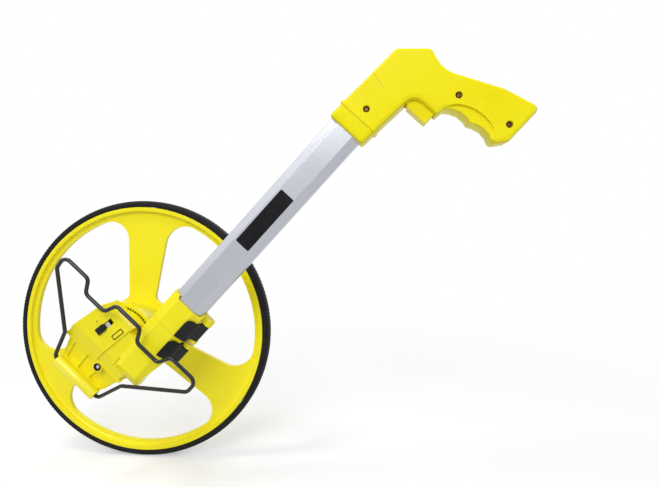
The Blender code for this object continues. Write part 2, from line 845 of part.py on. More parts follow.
def make_housing(frame, pole):
    body = make_housing_body(frame, pole)
    middle = (housing_left + housing_right) / 2
    for i in range(pocket_count):
        across = middle + (i - (pocket_count - 1) / 2) * pocket_pitch
        half = pocket_width / 2
        lean = across * pocket_lean_share / 2
        outline = rounded([(across - half - lean, pocket_foot, pocket_round),
                           (across + half - lean, pocket_foot, pocket_round),
                           (across + half + lean, pocket_top, pocket_round),
                           (across - half + lean, pocket_top, pocket_round)], 2)
        cut(body, prism(f"pocket_cut_{i + 1}", outline, "depth", flank_face - pocket_depth,
                        flank_face + overrun, frame))
    cut(body, block("groove_cut", (groove_across, block_face - groove_depth, groove_foot),
                    (groove_across + groove_width, block_face + overrun, groove_top), frame))
    cut(body, prism("socket_cut", tube_section(seat_gap - inner_inset), "up",
                    inner_tube_foot - seat_gap, neck_top + overrun, pole))
    cut(body, rod("axle_hole_cut", (0, 0), axle_radius + seat_gap, "depth",
                  boss_back - overrun, plate_face + overrun, frame))
    cut(body, nut_well("nut_well_cut", frame))
    cut(body, rod("shaft_hole_cut", (counter_across, 0), shaft_radius + seat_gap, "depth",
                  housing_back_face - overrun, plate_face + overrun, frame, hole_steps))
    for name, end, reach in (("left_pin_cut", barrel_left, 1), ("right_pin_cut", barrel_right, -1)):
        outside = end - reach * overrun
        inside = end + reach * (stand_pin_depth + seat_gap)
        cut(body, rod(name, (barrel_depth, barrel_level), wire_radius + seat_gap, "across",
                      outside, inside, frame, hole_steps))
    spot = (boss_across, boss_level)
    cut(body, rod("screw_recess_cut", spot, screw_recess_radius, "depth",
                  boss_face - screw_recess_depth, boss_face + overrun, frame))
    cut(body, rod("screw_hole_cut", spot, cover_screw_radius + seat_gap, "depth",
                  boss_face - screw_recess_depth - cover_screw_length - seat_gap,
                  boss_face, frame, hole_steps))
    return finish(body, yellow)


def screw(name, parent, radius, head, head_height, length):
    """A pan head screw along the depth axis, with its head's underside at its origin."""
    profile = [(0, head_height), (head * screw_crown_share, head_height),
               (head, head_height * screw_edge_share), (head, 0), (radius, 0),
               (radius, -length), (0, -length)]
    return finish(turned(name, profile, parent, screw_steps), bright_steel)


def nut_well(name, frame):
    """Room for the inner axle nut, half in the housing and half in the cover."""
    return rod(name, (0, 0), nut_radius + running_gap, "depth", plate_face,
               plate_face + nut_thickness + axle_stub + running_gap * 2, frame)


def make_cover_screw(frame):
    level = boss_face - screw_recess_depth + seat_gap
    place = empty("cover_screw_place", frame, (boss_across, -level, boss_level))
    screw("cover_screw", place, cover_screw_radius, cover_screw_head,
          cover_screw_head_height, cover_screw_length)


def wall_direction():
    start = Vector((housing_left, housing_shoulder))
    along = (Vector((slant_across, slant_top)) - start).normalized()
    return start, along, Vector((-along.y, along.x))


def wall_outline(from_middle, outer, inner):
    """A strip of the slanted wall round the counter: lengths along the wall and
    distances out of its outer face."""
    start, along, outward = wall_direction()
    middle = (Vector((counter_across, 0)) - start).dot(along)
    corners = ((middle - from_middle, outer), (middle + from_middle, outer),
               (middle + from_middle, inner), (middle - from_middle, inner))
    return [tuple(start + along * a + outward * b) for a, b in corners]


def cover_outline(inset=0):
    corners = [(housing_left, cover_foot), (housing_left, housing_shoulder),
               (slant_across, slant_top), (housing_top_left, housing_top - shelf),
               (cover_side(housing_top - shelf), housing_top - shelf), (cover_right, cover_foot)]
    return grow(corners, -inset)


def cover_solid(name, inset, back, face, frame):
    solid = prism(name, cover_outline(inset), "depth", back, face, frame)
    bevel = bevel_wedge(name + "_bevel_cut", face, ridge_level, cover_foot, bevel_drop,
                        housing_left, cover_side(ridge_level), frame)
    return cut(solid, bevel)


def make_cover(frame, rail):
    cover = cover_solid("counter_cover", 0, cover_back, face_depth, frame)
    cut(cover, cover_solid("cover_hollow", cover_wall, cover_back - overrun,
                           face_depth - cover_wall, frame))
    cut(cover, prism("lens_cut", wall_outline(lens_length / 2 + seat_gap, overrun,
                                              -cover_wall - overrun),
                     "depth", lens_low - seat_gap, lens_high + seat_gap, frame))
    half = slider_width / 2 - slider_inset
    stem_top = slider_length - slider_inset
    slot = block("slot_cut", (-half - seat_gap, -cover_wall - overrun, slider_inset - seat_gap),
                 (half + seat_gap, overrun, stem_top + slider_travel + seat_gap), rail)
    return finish(cut(cover, slot, nut_well("cover_well_cut", frame)), yellow)


def make_lens(frame):
    lens = prism("counter_window", wall_outline(lens_length / 2, -lens_frame / 2,
                                                -lens_frame / 2 - lens_thickness),
                 "depth", lens_low, lens_high, frame)
    return finish(lens, clear)


def make_slider(slide):
    half = slider_width / 2
    cap = block("reset_slider", (-half, seat_gap, 0), (half, seat_gap + slider_height,
                slider_length), slide)
    soften(cap, slider_inset / 2)
    plate_back = cover_wall + seat_gap
    stem = block("slider_stem_tool", (slider_inset - half, -plate_back - slider_plate_thickness
                 / 2, slider_inset), (half - slider_inset, seat_gap + slider_height / 2,
                 slider_length - slider_inset), slide)
    plate = block("slider_plate_tool", (-slider_plate_half, -plate_back - slider_plate_thickness,
                  0), (slider_plate_half, -plate_back, slider_plate_length), slide)
    return finish(join(cap, stem, plate), black_plastic)


def pinion_outline():
    pitch = 2 * math.pi / pinion_teeth
    points = []
    for k in range(pinion_teeth):
        for side in (-1, 1):
            flank = [(pinion_root, pinion_root_share), (pinion_pitch_radius, pinion_pitch_share),
                     (pinion_tip, pinion_tip_share)]
            for radius, share in flank[::-side]:
                points.append(polar(radius, (k + side * share) * pitch))
    return points


def make_counter(frame):
    hinge = empty("counter_axis", frame, (counter_across, 0, 0))
    front = ring_front - pinion_setback
    pinion = prism("counter_pinion", pinion_outline(), "depth", front - pinion_width,
                   front, hinge)
    last = drum_first + (drum_count - 1) * drum_pitch + drum_width
    shaft = rod("pinion_shaft_tool", (0, 0), shaft_radius, "depth", front - pinion_width / 2,
                last + seat_gap, hinge, hole_steps)
    finish(join(pinion, shaft), white_plastic)
    for i in range(drum_count):
        back = drum_first + i * drum_pitch
        face = back + drum_width
        bore = shaft_radius + seat_gap
        edge = drum_radius - drum_step
        profile = [(bore, back), (edge, back), (drum_radius, back + drum_step),
                   (drum_radius, face - drum_step), (edge, face), (bore, face)]
        drum = turned(f"digit_drum_{i + 1}", profile, hinge, drum_steps)
        finish(drum, white_plastic)


# Wire stand
def bent_path(corners, steps):
    """Round the corners of an open path of (across, up, rounding) points."""
    points = [corners[0][:2]]
    for before, (a, b, radius), after in zip(corners, corners[1:], corners[2:]):
        here = Vector((a, b))
        points += corner_arc(here, Vector(before[:2]) - here, Vector(after[:2]) - here,
                             radius, steps)
    points.append(corners[-1][:2])
    return points


def make_stand(frame):
    hinge = empty("stand_hinge", frame, (0, -barrel_depth, barrel_level), (stand_lean, 0, 0))
    left, right = barrel_left - stand_side_gap, barrel_right + stand_side_gap

    def side(sign, shift, half):
        return barrel_middle + shift + sign * half

    knee_shift = foot_shift * stand_knee_height / foot_height
    half_path = []
    for sign in (-1, 1):
        places = ((knee_shift, stand_knee_half, stand_knee_height, wire_bend),
                  (foot_shift, foot_half, foot_corner_height, foot_bend),
                  (foot_shift, foot_half, foot_height, foot_bend),
                  (step_shift, step_outer_half, foot_height, wire_bend),
                  (step_shift, step_inner_half, step_height, wire_bend),
                  (bump_shift, bump_outer_half, step_height, wire_bend),
                  (bump_shift, bump_inner_half, foot_height, wire_bend))
        half_path.append([(side(sign, shift, half), height, radius)
                          for shift, half, height, radius in places])
    corners = [(barrel_left + stand_pin_depth, 0, 0), (left, 0, wire_bend)] + half_path[0]
    corners += half_path[1][::-1]
    corners += [(right, 0, wire_bend), (barrel_right - stand_pin_depth, 0, 0)]
    path = bent_path(corners, wire_bend_steps)
    stand = wire("stand_wire", [(a, 0, b) for a, b in path], wire_radius, hinge)
    return finish(stand, black_steel)


# Pole
def tube_section(distance, steps=2):
    """The pole's flattened octagon, grown by a distance."""
    near, far = tube_half_depth, tube_half_width
    corners = []
    for sx, sy in ((1, -1), (1, 1), (-1, 1), (-1, -1)):
        side_corner = (sx * far, sy * (near - tube_chamfer_depth))
        face_corner = (sx * (far - tube_chamfer_width), sy * near)
        corners += [face_corner, side_corner] if sx * sy < 0 else [side_corner, face_corner]
    corners = grow(corners, distance)
    return rounded([(a, b, tube_round) for a, b in corners], steps)


def make_tube(name, inset, foot, top, parent):
    return pipe(name, tube_section(-inset), tube_section(-inset - tube_wall), "up",
                foot, top, parent)


def make_plug(name, inset, top, parent):
    """A cap in the top of an inner tube."""
    body = prism(name, tube_section(-inset - tube_wall - seat_gap), "up",
                 top - plug_depth, top + seat_gap + plug_brim / 2, parent)
    brim = prism(name + "_brim_tool", tube_section(-inset), "up", top + seat_gap,
                 top + seat_gap + plug_brim, parent)
    return finish(join(body, brim), black_plastic)


def make_tubes(inner_line, middle_line, outer_line):
    finish(make_tube("inner_tube", inner_inset, inner_tube_foot, inner_tube_top,
                     inner_line), silver)
    make_plug("inner_tube_plug", inner_inset, inner_tube_top, inner_line)
    finish(make_tube("middle_tube", middle_inset, middle_tube_foot, middle_tube_top,
                     middle_line), silver)
    make_plug("middle_tube_plug", middle_inset, middle_tube_top, middle_line)
    outer = make_tube("outer_tube", 0, outer_tube_foot, outer_tube_top, outer_line)
    spot = (tube_screw_across, handle_foot + tube_screw_level)
    cut(outer, rod("tube_screw_cut", spot, handle_screw_radius + seat_gap, "depth",
                   0, tube_half_depth + overrun, outer_line, hole_steps))
    finish(outer, silver)


# Collars and levers
def make_collar(name, foot, height, ledge, sliding, seated, ears, parent):
    """A clamp collar. Below the ledge it slides on the thinner tube, above the
    ledge it holds the foot of the wider one."""
    top = foot + height
    collar = prism(name, tube_section(collar_wall), "up", foot, top, parent)
    for number, (low, high) in enumerate(ears):
        outline = ear_outline()
        join(collar, prism(f"{name}_ear_tool_{number + 1}", outline, "up",
                           foot + low, foot + high, parent))
    cut(collar, prism(name + "_slide_cut", tube_section(running_gap - sliding), "up",
                      foot - overrun, ledge, parent))
    cut(collar, prism(name + "_seat_cut", tube_section(seat_gap - seated), "up",
                      ledge - seat_gap, top + overrun, parent))
    cut(collar, prism(name + "_slit_cut", [(tube_half_width - step_inset * 2, -slit_back),
                      (tube_half_width + collar_wall + overrun, -slit_back),
                      (tube_half_width + collar_wall + overrun, -slit_back + slit_width),
                      (tube_half_width - step_inset * 2, -slit_back + slit_width)], "up",
                      foot - overrun, top + overrun, parent))
    cut(collar, rod(name + "_pin_cut", (lever_pin_across, lever_pin_back),
                    lever_pin_radius + seat_gap, "up", foot - overrun, top + overrun,
                    parent, hole_steps))
    return collar


def ear_outline():
    arc = []
    for i in range(ear_steps + 1):
        angle = math.pi * (i / ear_steps - 0.5)
        arc.append((lever_pin_across + ear_round * math.cos(angle),
                    lever_pin_back + ear_round * math.sin(angle)))
    return [(ear_root, lever_pin_back - ear_round)] + arc + [
        (ear_root, lever_pin_back + ear_round)]


def chamfer_back(across, distance):
    """Where the tube's front chamfer, moved out by a distance, passes a place across."""
    slope = tube_chamfer_depth / tube_chamfer_width
    edge = tube_half_depth - tube_chamfer_depth + distance * math.hypot(1, slope)
    return -(edge + (tube_half_width - across) * slope)


def make_lever(name, foot, knuckle_foot, knuckle_top, parent):
    hinge = empty(name + "_hinge", parent, (lever_pin_across, lever_pin_back, 0))
    inner = collar_wall + seat_gap
    outer = inner + lever_thickness
    side_in = tube_half_width + inner
    side_out = tube_half_width + outer

    def local(across, back):
        return (across - lever_pin_across, back - lever_pin_back)

    corners = [(*local(lever_tip, chamfer_back(lever_tip, outer)), 0),
               (*local(side_out, chamfer_back(side_out, outer)), lever_bend),
               (*local(side_out, -lever_root), 0), (*local(side_in, -lever_root), 0),
               (*local(side_in, chamfer_back(side_in, inner)), lever_bend - lever_thickness),
               (*local(lever_tip, chamfer_back(lever_tip, inner)), 0)]
    top = foot + lever_length
    lever = prism(name, rounded(corners, 3), "up", foot, top, hinge)
    cut(lever, prism(name + "_corner_cut", lever_corner_outline(top), "depth", 0,
                     lever_pin_back + tube_half_depth + outer + overrun, hinge))
    soften(lever, lever_thickness / 4)
    neck_left = side_in + seat_gap * 2
    arc = [polar(lever_knuckle, math.pi - knuckle_turn * i / knuckle_steps)
           for i in range(knuckle_steps + 1)]
    knuckle_outline = [local(neck_left, -lever_knuckle)] + arc + [
        local(side_out - seat_gap, -lever_knuckle)]
    join(lever, prism(name + "_knuckle_tool", knuckle_outline, "up", knuckle_foot,
                      knuckle_top, hinge))
    cut(lever, rod(name + "_bore_cut", (0, 0), lever_pin_radius + seat_gap, "up",
                   foot - overrun, foot + lever_length + overrun, hinge, hole_steps))
    return finish(lever, black_plastic)


def lever_corner_outline(top):
    """What is cut off the paddle's free upper corner to round it."""
    left = lever_tip - lever_pin_across
    corner = (left + lever_corner, top - lever_corner)
    arc = []
    for i in range(corner_steps + 1):
        a, b = polar(lever_corner, math.pi - math.pi / 2 * i / corner_steps)
        arc.append((corner[0] + a, corner[1] + b))
    return arc + [(corner[0], top + overrun), (left - overrun, top + overrun),
                  (left - overrun, corner[1])]


def scoop_outline(top):
    """The low front of the upper collar's mouth."""
    floor = top - scoop_depth
    return rounded([(scoop_left, top + overrun, 0), (scoop_left, floor, scoop_round),
                    (scoop_right, floor, scoop_round), (scoop_right, top + overrun, 0)])


def make_clamps(middle_line, outer_line):
    lower = make_collar("lower_collar", lower_collar_foot, lower_collar_height,
                        middle_tube_foot, inner_inset, middle_inset, lower_ears, middle_line)
    finish(lower, yellow)
    upper = make_collar("upper_collar", upper_collar_foot, collar_height, outer_tube_foot,
                        middle_inset, 0, upper_ears, outer_line)
    cut(upper, prism("upper_collar_scoop_cut", scoop_outline(upper_collar_foot + collar_height),
                     "depth", tube_half_depth - tube_chamfer_depth,
                     tube_half_depth + collar_wall + overrun, outer_line))
    finish(upper, yellow)
    for name, foot, ears, rise, line in (
            ("lower_lever", lower_collar_foot, lower_ears, lower_lever_rise, middle_line),
            ("upper_lever", upper_collar_foot, upper_ears, lever_rise, outer_line)):
        make_lever(name, foot + rise, foot + ears[0][1] + knuckle_gap,
                   foot + ears[1][0] - knuckle_gap, line)
        finish(rod(name + "_pin", (lever_pin_across, lever_pin_back), lever_pin_radius, "up",
                   foot + ears[0][0], foot + ears[1][1], line, screw_steps), bright_steel)


# Handle
def handle_corners():
    """The handle's side view as (across, up, rounding)."""
    corners = [(-socket_left_width, -foot_drop, foot_round),
               (elbow_across, elbow_level, corner_round),
               (crown_across, crown_level, corner_round),
               (dip_across, dip_level, long_round),
               (swell_across, swell_level, long_round),
               (grip_end, grip_end_level, corner_round),
               (grip_end, heel_level + heel_rise, corner_round),
               (heel_across, heel_level, corner_round)]
    cusps = finger_cusps[::-1]
    for start, end in zip(cusps, cusps[1:]):
        corners.append((*start, trigger_round))
        for share in finger_shares:
            hollow = finger_depth * 4 * share * (1 - share)
            corners.append((start[0] + (end[0] - start[0]) * share,
                            start[1] + (end[1] - start[1]) * share + hollow, trigger_round))
    corners += [(*finger_cusps[0], trigger_round), (guard_across, arch_level, 0),
                (arch_side, arch_level, arch_round), (socket_right_width, -foot_drop, foot_round)]
    return corners


def side_edges(level):
    """How far across the handle's two sides are, at a level below the arch."""
    height = level + foot_drop
    left_slope = (elbow_across + socket_left_width) / (elbow_level + foot_drop)
    right_slope = (arch_side - socket_right_width) / (arch_level + foot_drop)
    left = -socket_left_width + left_slope * height
    right = socket_right_width + right_slope * height
    return left, right


def handle_half(name, side, parent):
    """One half of the handle, from the split to its flat side with a rounded edge.
    side is -1 for the near half and 1 for the far one."""
    corners = handle_corners()
    levels = ((handle_split / 2, 0), (handle_half_thickness - handle_edge, 0),
              (handle_half_thickness - handle_edge * handle_edge_share,
               handle_edge * handle_edge_share),
              (handle_half_thickness, handle_edge))
    bm = bmesh.new()
    loops = []
    for back, inset in levels:
        moved = grow([corner[:2] for corner in corners], -inset)
        outline = rounded([(*place, corner[2]) for place, corner in zip(moved, corners)], 3)
        loops.append([bm.verts.new((a, side * back, b)) for a, b in outline])
    count = len(loops[0])
    for here, there in zip(loops, loops[1:]):
        for i in range(count):
            k = (i + 1) % count
            bm.faces.new((here[i], here[k], there[k], there[i]))
    bm.faces.new(loops[0])
    bm.faces.new(loops[-1])
    return from_bmesh(name, bm, parent)


def handle_band(name, side, parent):
    """The half of the raised band round the handle's foot."""
    left, right = side_edges(band_level)
    left, right = left - band_lip, right + band_lip
    thick = handle_half_thickness + band_lip
    start = side * handle_split / 2
    outline = rounded([(left, start, 0), (right, start, 0), (right, side * thick, band_round),
                       (left, side * thick, band_round)], 3)
    return prism(name, outline, "up", band_level, band_level + band_height, parent)


def panel_outline():
    """The finger panel: an arc above the hollows for the fingers."""
    (left, low), (right, high) = finger_cusps[0], finger_cusps[-1]
    points = []
    for i in range(panel_steps + 1):
        share = (1 + math.cos(math.pi * i / panel_steps)) / 2
        rise = panel_rise * math.sin(math.pi * i / panel_steps)
        points.append((left + (right - left) * share, low + (high - low) * share + rise))
    return points + [(left, low - panel_foot), (right, low - panel_foot)]


def chamber_outline():
    right = trigger_right + trigger_space
    left = trigger_left - trigger_space
    below = trigger_level - trigger_round - overrun
    return [(chamber_left, chamber_foot), (left, chamber_foot), (left, below), (right, below),
            (right, chamber_side_top), (dip_across, chamber_top), (crown_across, chamber_top),
            (chamber_left, elbow_level - corner_round)]


def top_edge(across):
    """The level of the grip's top edge at a place across."""
    low, high = (dip_across, dip_level), (swell_across, swell_level)
    if across > swell_across:
        low, high = high, (grip_end, grip_end_level)
    return low[1] + (high[1] - low[1]) * (across - low[0]) / (high[0] - low[0])


def hollow_outline():
    return [(hollow_left, hollow_foot), (hollow_right, hollow_foot),
            (hollow_right, top_edge(hollow_right) - hollow_wall),
            (hollow_left, top_edge(hollow_left) - hollow_wall)]


def slab(name, outline, side, low, high, parent):
    """A prism through one half, between two distances from the split."""
    return prism(name, outline, "depth", -side * low, -side * high, parent)


def make_handle_half(name, side, line):
    half = handle_half(name, side, line)
    join(half, handle_band(name + "_band_tool", side, line))
    outside = handle_half_thickness + band_lip + overrun
    cut(half, slab(name + "_panel_cut", panel_outline(), side,
                   handle_half_thickness - panel_depth, outside, line))
    cut(half, slab(name + "_chamber_cut", chamber_outline(), side, -overrun,
                   trigger_half + trigger_space, line))
    cut(half, slab(name + "_hollow_cut", hollow_outline(), side, -overrun, hollow_half, line))
    cut(half, prism(name + "_socket_cut", tube_section(seat_gap), "up",
                    -foot_drop - overrun, tube_in_handle + seat_gap, line))
    pin = (trigger_pin_across, trigger_pin_level)
    cut(half, slab(name + "_pin_cut", circle(trigger_pin_radius + seat_gap, hole_steps, pin), side,
                   0, trigger_half + trigger_space + pin_seat + seat_gap, line))
    for number, spot in enumerate(handle_screw_spots()):
        if side < 0:
            cut(half, slab(f"{name}_recess_cut_{number + 1}", circle(handle_hole_radius, small_steps, spot),
                           side, handle_half_thickness - handle_hole_depth, outside, line))
            cut(half, slab(f"{name}_screw_cut_{number + 1}", circle(
                handle_screw_radius + seat_gap, hole_steps, spot), side, -overrun, outside, line))
        elif number > 0:
            cut(half, slab(f"{name}_screw_cut_{number + 1}", circle(
                handle_screw_radius + seat_gap, hole_steps, spot), side, -overrun,
                handle_screw_tip + seat_gap, line))
    return finish(half, yellow)


def handle_screw_spots():
    return ((tube_screw_across, tube_screw_level), (upper_screw_across, upper_screw_level),
            (end_screw_across, end_screw_level))


def make_handle_screws(line):
    level = handle_half_thickness - handle_hole_depth + seat_gap
    through = level + handle_screw_tip
    into_tube = level - tube_half_depth + tube_wall
    for number, spot in enumerate(handle_screw_spots()):
        place = empty(f"handle_screw_place_{number + 1}", line, (spot[0], -level, spot[1]))
        screw(f"handle_screw_{number + 1}", place, handle_screw_radius, handle_screw_head,
              handle_screw_head_height, into_tube if number == 0 else through)


def make_trigger(line):
    hinge = empty("trigger_hinge", line, (trigger_pin_across, 0, trigger_pin_level))

    def local(across, up):
        return (across - trigger_pin_across, up - trigger_pin_level)

    top = trigger_level + trigger_back_height
    corners = [(*local(trigger_left, trigger_level), trigger_round),
               (*local(trigger_right, trigger_level), trigger_round),
               (*local(trigger_right, trigger_level + trigger_height), trigger_round),
               (*local(trigger_middle, top), trigger_round),
               (0, trigger_boss, 0), (-trigger_boss, 0, 0),
               (*local(trigger_left, trigger_pin_level - trigger_boss), 0)]
    trigger = prism("trigger", rounded(corners, 2), "depth", -trigger_half, trigger_half, hinge)
    soften(trigger, trigger_round)
    boss = rod("trigger_boss_tool", (0, 0), trigger_boss, "depth",
               seat_gap - trigger_half, trigger_half - seat_gap, hinge)
    join(trigger, boss)
    cut(trigger, rod("trigger_bore_cut", (0, 0), trigger_pin_radius + seat_gap, "depth",
                     -trigger_half - overrun, trigger_half + overrun, hinge, hole_steps))
    finish(trigger, yellow)
    reach = trigger_half + trigger_space + pin_seat
    finish(rod("trigger_pin", (trigger_pin_across, trigger_pin_level), trigger_pin_radius,
               "depth", -reach, reach, line, screw_steps), bright_steel)


def main():
    clear_scene()
    centre = empty("axle_centre", None, (0, hub_cap_face, 0))
    spin = empty("wheel_frame", centre)
    for make in (make_tyre, make_wheel, make_hub_cup, make_drive_ring, make_hub_screws,
                 make_bushes, make_hub_cap):
        make(spin)
    frame = empty("pole_frame", centre, (0, 0, 0), (0, math.pi / 2 - pole_angle, 0))
    lines = []
    for name in ("inner_line", "middle_line", "outer_line"):
        lines.append(empty(name, frame, (pole_across, -pole_depth, 0)))
    inner_line, middle_line, outer_line = lines
    make_axle(frame)
    make_housing(frame, inner_line)
    make_cover_screw(frame)
    rail = empty("slider_rail", frame, (slider_across, -face_depth, slider_foot),
                 (0, cover_lean, 0))
    make_cover(frame, rail)
    make_lens(frame)
    make_slider(rail)
    make_counter(frame)
    make_stand(frame)
    make_tubes(inner_line, middle_line, outer_line)
    make_clamps(middle_line, outer_line)
    handle_line = empty("handle_line", outer_line, (0, 0, handle_foot))
    make_handle_half("handle_near", -1, handle_line)
    make_handle_half("handle_far", 1, handle_line)
    make_handle_screws(handle_line)
    make_trigger(handle_line)


main()
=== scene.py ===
import math

import bmesh
import bpy
from mathutils import Matrix, Vector


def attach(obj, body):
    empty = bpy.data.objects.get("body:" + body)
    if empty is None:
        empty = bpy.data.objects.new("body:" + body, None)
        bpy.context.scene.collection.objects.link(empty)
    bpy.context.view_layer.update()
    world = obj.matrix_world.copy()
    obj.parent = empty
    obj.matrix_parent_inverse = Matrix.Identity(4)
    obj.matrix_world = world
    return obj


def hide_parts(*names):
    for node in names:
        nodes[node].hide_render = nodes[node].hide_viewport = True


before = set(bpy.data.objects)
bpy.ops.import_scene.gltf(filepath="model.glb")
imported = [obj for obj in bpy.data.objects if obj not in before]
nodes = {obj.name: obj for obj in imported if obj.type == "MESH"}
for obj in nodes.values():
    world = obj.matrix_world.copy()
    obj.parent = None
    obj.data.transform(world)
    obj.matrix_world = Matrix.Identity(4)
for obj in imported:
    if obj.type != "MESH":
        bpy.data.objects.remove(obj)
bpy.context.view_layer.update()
print("frame loaded:", len(nodes), "nodes")

tool = {
    "wheelMiddle": -0.0203,   # along Y, from the hub cap's face
    "wheelRadius": 0.159155,
    "poleLean": math.radians(47.4),
    "poleAcross": 0.036,
    "poleDepth": 0.080,
}

# three frames to build in: the wheel, the hub housing (Z runs up the pole) and the pole's middle
wheelSpace = Matrix.Translation((0, tool["wheelMiddle"], 0))
hubSpace = wheelSpace @ Matrix.Rotation(math.pi / 2 - tool["poleLean"], 4, "Y")
poleSpace = hubSpace @ Matrix.Translation((tool["poleAcross"], -tool["poleDepth"], 0))


def newMaterial(name):
    material = bpy.data.materials.new(name)
    material.use_nodes = True
    tree = material.node_tree
    return material, tree, tree.nodes["Principled BSDF"]


def addNode(tree, kind, **settings):
    node = tree.nodes.new(kind)
    for key, value in settings.items():
        if key in node.inputs:
            node.inputs[key].default_value = value
        else:
            setattr(node, key, value)
    return node


def objectPoint(tree):
    return tree.nodes.new("ShaderNodeTexCoord").outputs["Object"]


def noise(tree, vector, scale, detail=3.0, rough=0.5):
    node = tree.nodes.new("ShaderNodeTexNoise")
    node.inputs["Scale"].default_value = scale
    node.inputs["Detail"].default_value = detail
    node.inputs["Roughness"].default_value = rough
    tree.links.new(vector, node.inputs["Vector"])
    return node.outputs["Fac"]


def ramp(tree, value, low, high, start=0.35, end=0.65):
    node = tree.nodes.new("ShaderNodeValToRGB")
    node.color_ramp.elements[0].position = start
    node.color_ramp.elements[1].position = end
    node.color_ramp.elements[0].color = low if len(low) == 4 else (*low, 1)
    node.color_ramp.elements[1].color = high if len(high) == 4 else (*high, 1)
    tree.links.new(value, node.inputs["Fac"])
    return node.outputs["Color"]


noiseSpan = (0.3, 0.7)    # where nearly all of a noise's values lie


def spread(tree, value, low, high):
    node = tree.nodes.new("ShaderNodeMapRange")
    node.inputs["From Min"].default_value = noiseSpan[0]
    node.inputs["From Max"].default_value = noiseSpan[1]
    node.inputs["To Min"].default_value = low
    node.inputs["To Max"].default_value = high
    tree.links.new(value, node.inputs["Value"])
    return node.outputs["Result"]


def mixColour(tree, factor, first, second):
    node = tree.nodes.new("ShaderNodeMix")
    node.data_type = "RGBA"
    for socket, value in ((node.inputs[0], factor), (node.inputs[6], first),
                          (node.inputs[7], second)):
        if hasattr(value, "links"):
            tree.links.new(value, socket)
        elif isinstance(value, tuple):
            socket.default_value = (*value, 1)
        else:
            socket.default_value = value
    return node.outputs[2]


def bump(tree, shader, layers, softEdge=0.0):
    normal = None
    if softEdge:
        edge = tree.nodes.new("ShaderNodeBevel")
        edge.samples = 4
        edge.inputs["Radius"].default_value = softEdge
        normal = edge.outputs["Normal"]
    for height, strength, distance in layers:
        node = tree.nodes.new("ShaderNodeBump")
        node.inputs["Strength"].default_value = strength
        node.inputs["Distance"].default_value = distance
        tree.links.new(height, node.inputs["Height"])
        if normal:
            tree.links.new(normal, node.inputs["Normal"])
        normal = node.outputs["Normal"]
    tree.links.new(normal, shader.inputs["Normal"])


def edgeMask(tree, radius, low, high):
    # 1 on worn edges: where the rounded normal leaves the true one
    edge = tree.nodes.new("ShaderNodeBevel")
    edge.samples = 4
    edge.inputs["Radius"].default_value = radius
    plain = tree.nodes.new("ShaderNodeNewGeometry")
    dot = tree.nodes.new("ShaderNodeVectorMath")
    dot.operation = "DOT_PRODUCT"
    tree.links.new(edge.outputs["Normal"], dot.inputs[0])
    tree.links.new(plain.outputs["Normal"], dot.inputs[1])
    node = tree.nodes.new("ShaderNodeMapRange")
    node.inputs["From Min"].default_value = high
    node.inputs["From Max"].default_value = low
    tree.links.new(dot.outputs["Value"], node.inputs["Value"])
    return node.outputs["Result"]


yellowFinish = {
    "deep": (0.93, 0.78, 0.006),
    "main": (0.955, 0.845, 0.012),
    "worn": (0.96, 0.88, 0.10),
    "rough": (0.23, 0.27),
    "cloud": (22.0, 4.0),         # scale and detail of each noise, and then its roughness
    "flow": (9.0, 2.0),
    "scuff": (160.0, 6.0, 0.7),
    "grainDetail": 2.0,
    "cloudSpan": (0.18, 0.52),    # where the change of colour starts and ends
    "mostWear": 0.25,
    "wornWidth": 1.6,             # of the soft edge
    "wornSpan": (0.80, 0.985),
    "flowBump": (0.10, 0.002),    # strength and distance
    "grainBump": (0.06, 0.0002),
}


def mouldedYellow(name, grain, softEdge, gloss):
    look = yellowFinish
    material, tree, shader = newMaterial(name)
    point = objectPoint(tree)
    cloud = noise(tree, point, *look["cloud"])
    fine = noise(tree, point, grain, look["grainDetail"])
    flow = noise(tree, point, *look["flow"])
    colour = ramp(tree, cloud, look["deep"], look["main"], *look["cloudSpan"])
    scuff = noise(tree, point, *look["scuff"])
    wear = addNode(tree, "ShaderNodeMath", operation="MULTIPLY")
    tree.links.new(edgeMask(tree, softEdge * look["wornWidth"], *look["wornSpan"]), wear.inputs[0])
    tree.links.new(spread(tree, scuff, 0.0, look["mostWear"]), wear.inputs[1])
    colour = mixColour(tree, wear.outputs[0], colour, look["worn"])
    tree.links.new(colour, shader.inputs["Base Color"])
    tree.links.new(spread(tree, scuff, *look["rough"]), shader.inputs["Roughness"])
    shader.inputs["Specular IOR Level"].default_value = gloss
    bump(tree, shader, ((flow, *look["flowBump"]), (fine, *look["grainBump"])))
    return material


def plainFinish(name, look, **changes):
    # one noise runs from the dark to the light colour and sets the roughness, and the bump comes
    # from a noise of its own where the look has a grain
    look = {**look, **changes}
    material, tree, shader = newMaterial(name)
    point = objectPoint(tree)
    cloud = noise(tree, point, *look["cloud"])
    colour = ramp(tree, cloud, look["dark"], look["light"], *look["span"])
    if "worn" in look:
        colour = mixColour(tree, edgeMask(tree, *look["wornEdge"]), colour, look["worn"])
    tree.links.new(colour, shader.inputs["Base Color"])
    tree.links.new(spread(tree, cloud, *look["rough"]), shader.inputs["Roughness"])
    for socket, value in look.get("sockets", {}).items():
        shader.inputs[socket].default_value = value
    height = noise(tree, point, *look["grain"]) if "grain" in look else cloud
    bump(tree, shader, ((height, *look["bump"]),), look["softEdge"])
    return material


rubberLook = {
    "dark": (0.007, 0.007, 0.008),
    "light": (0.022, 0.021, 0.020),
    "cloud": (60.0, 5.0, 0.65),
    "span": (0.4, 0.8),
    "grain": (1400.0, 2.0),
    "rough": (0.55, 0.78),
    "sockets": {"Specular IOR Level": 0.16},
    "bump": (0.25, 0.0002),
    "softEdge": 0.0003,
}

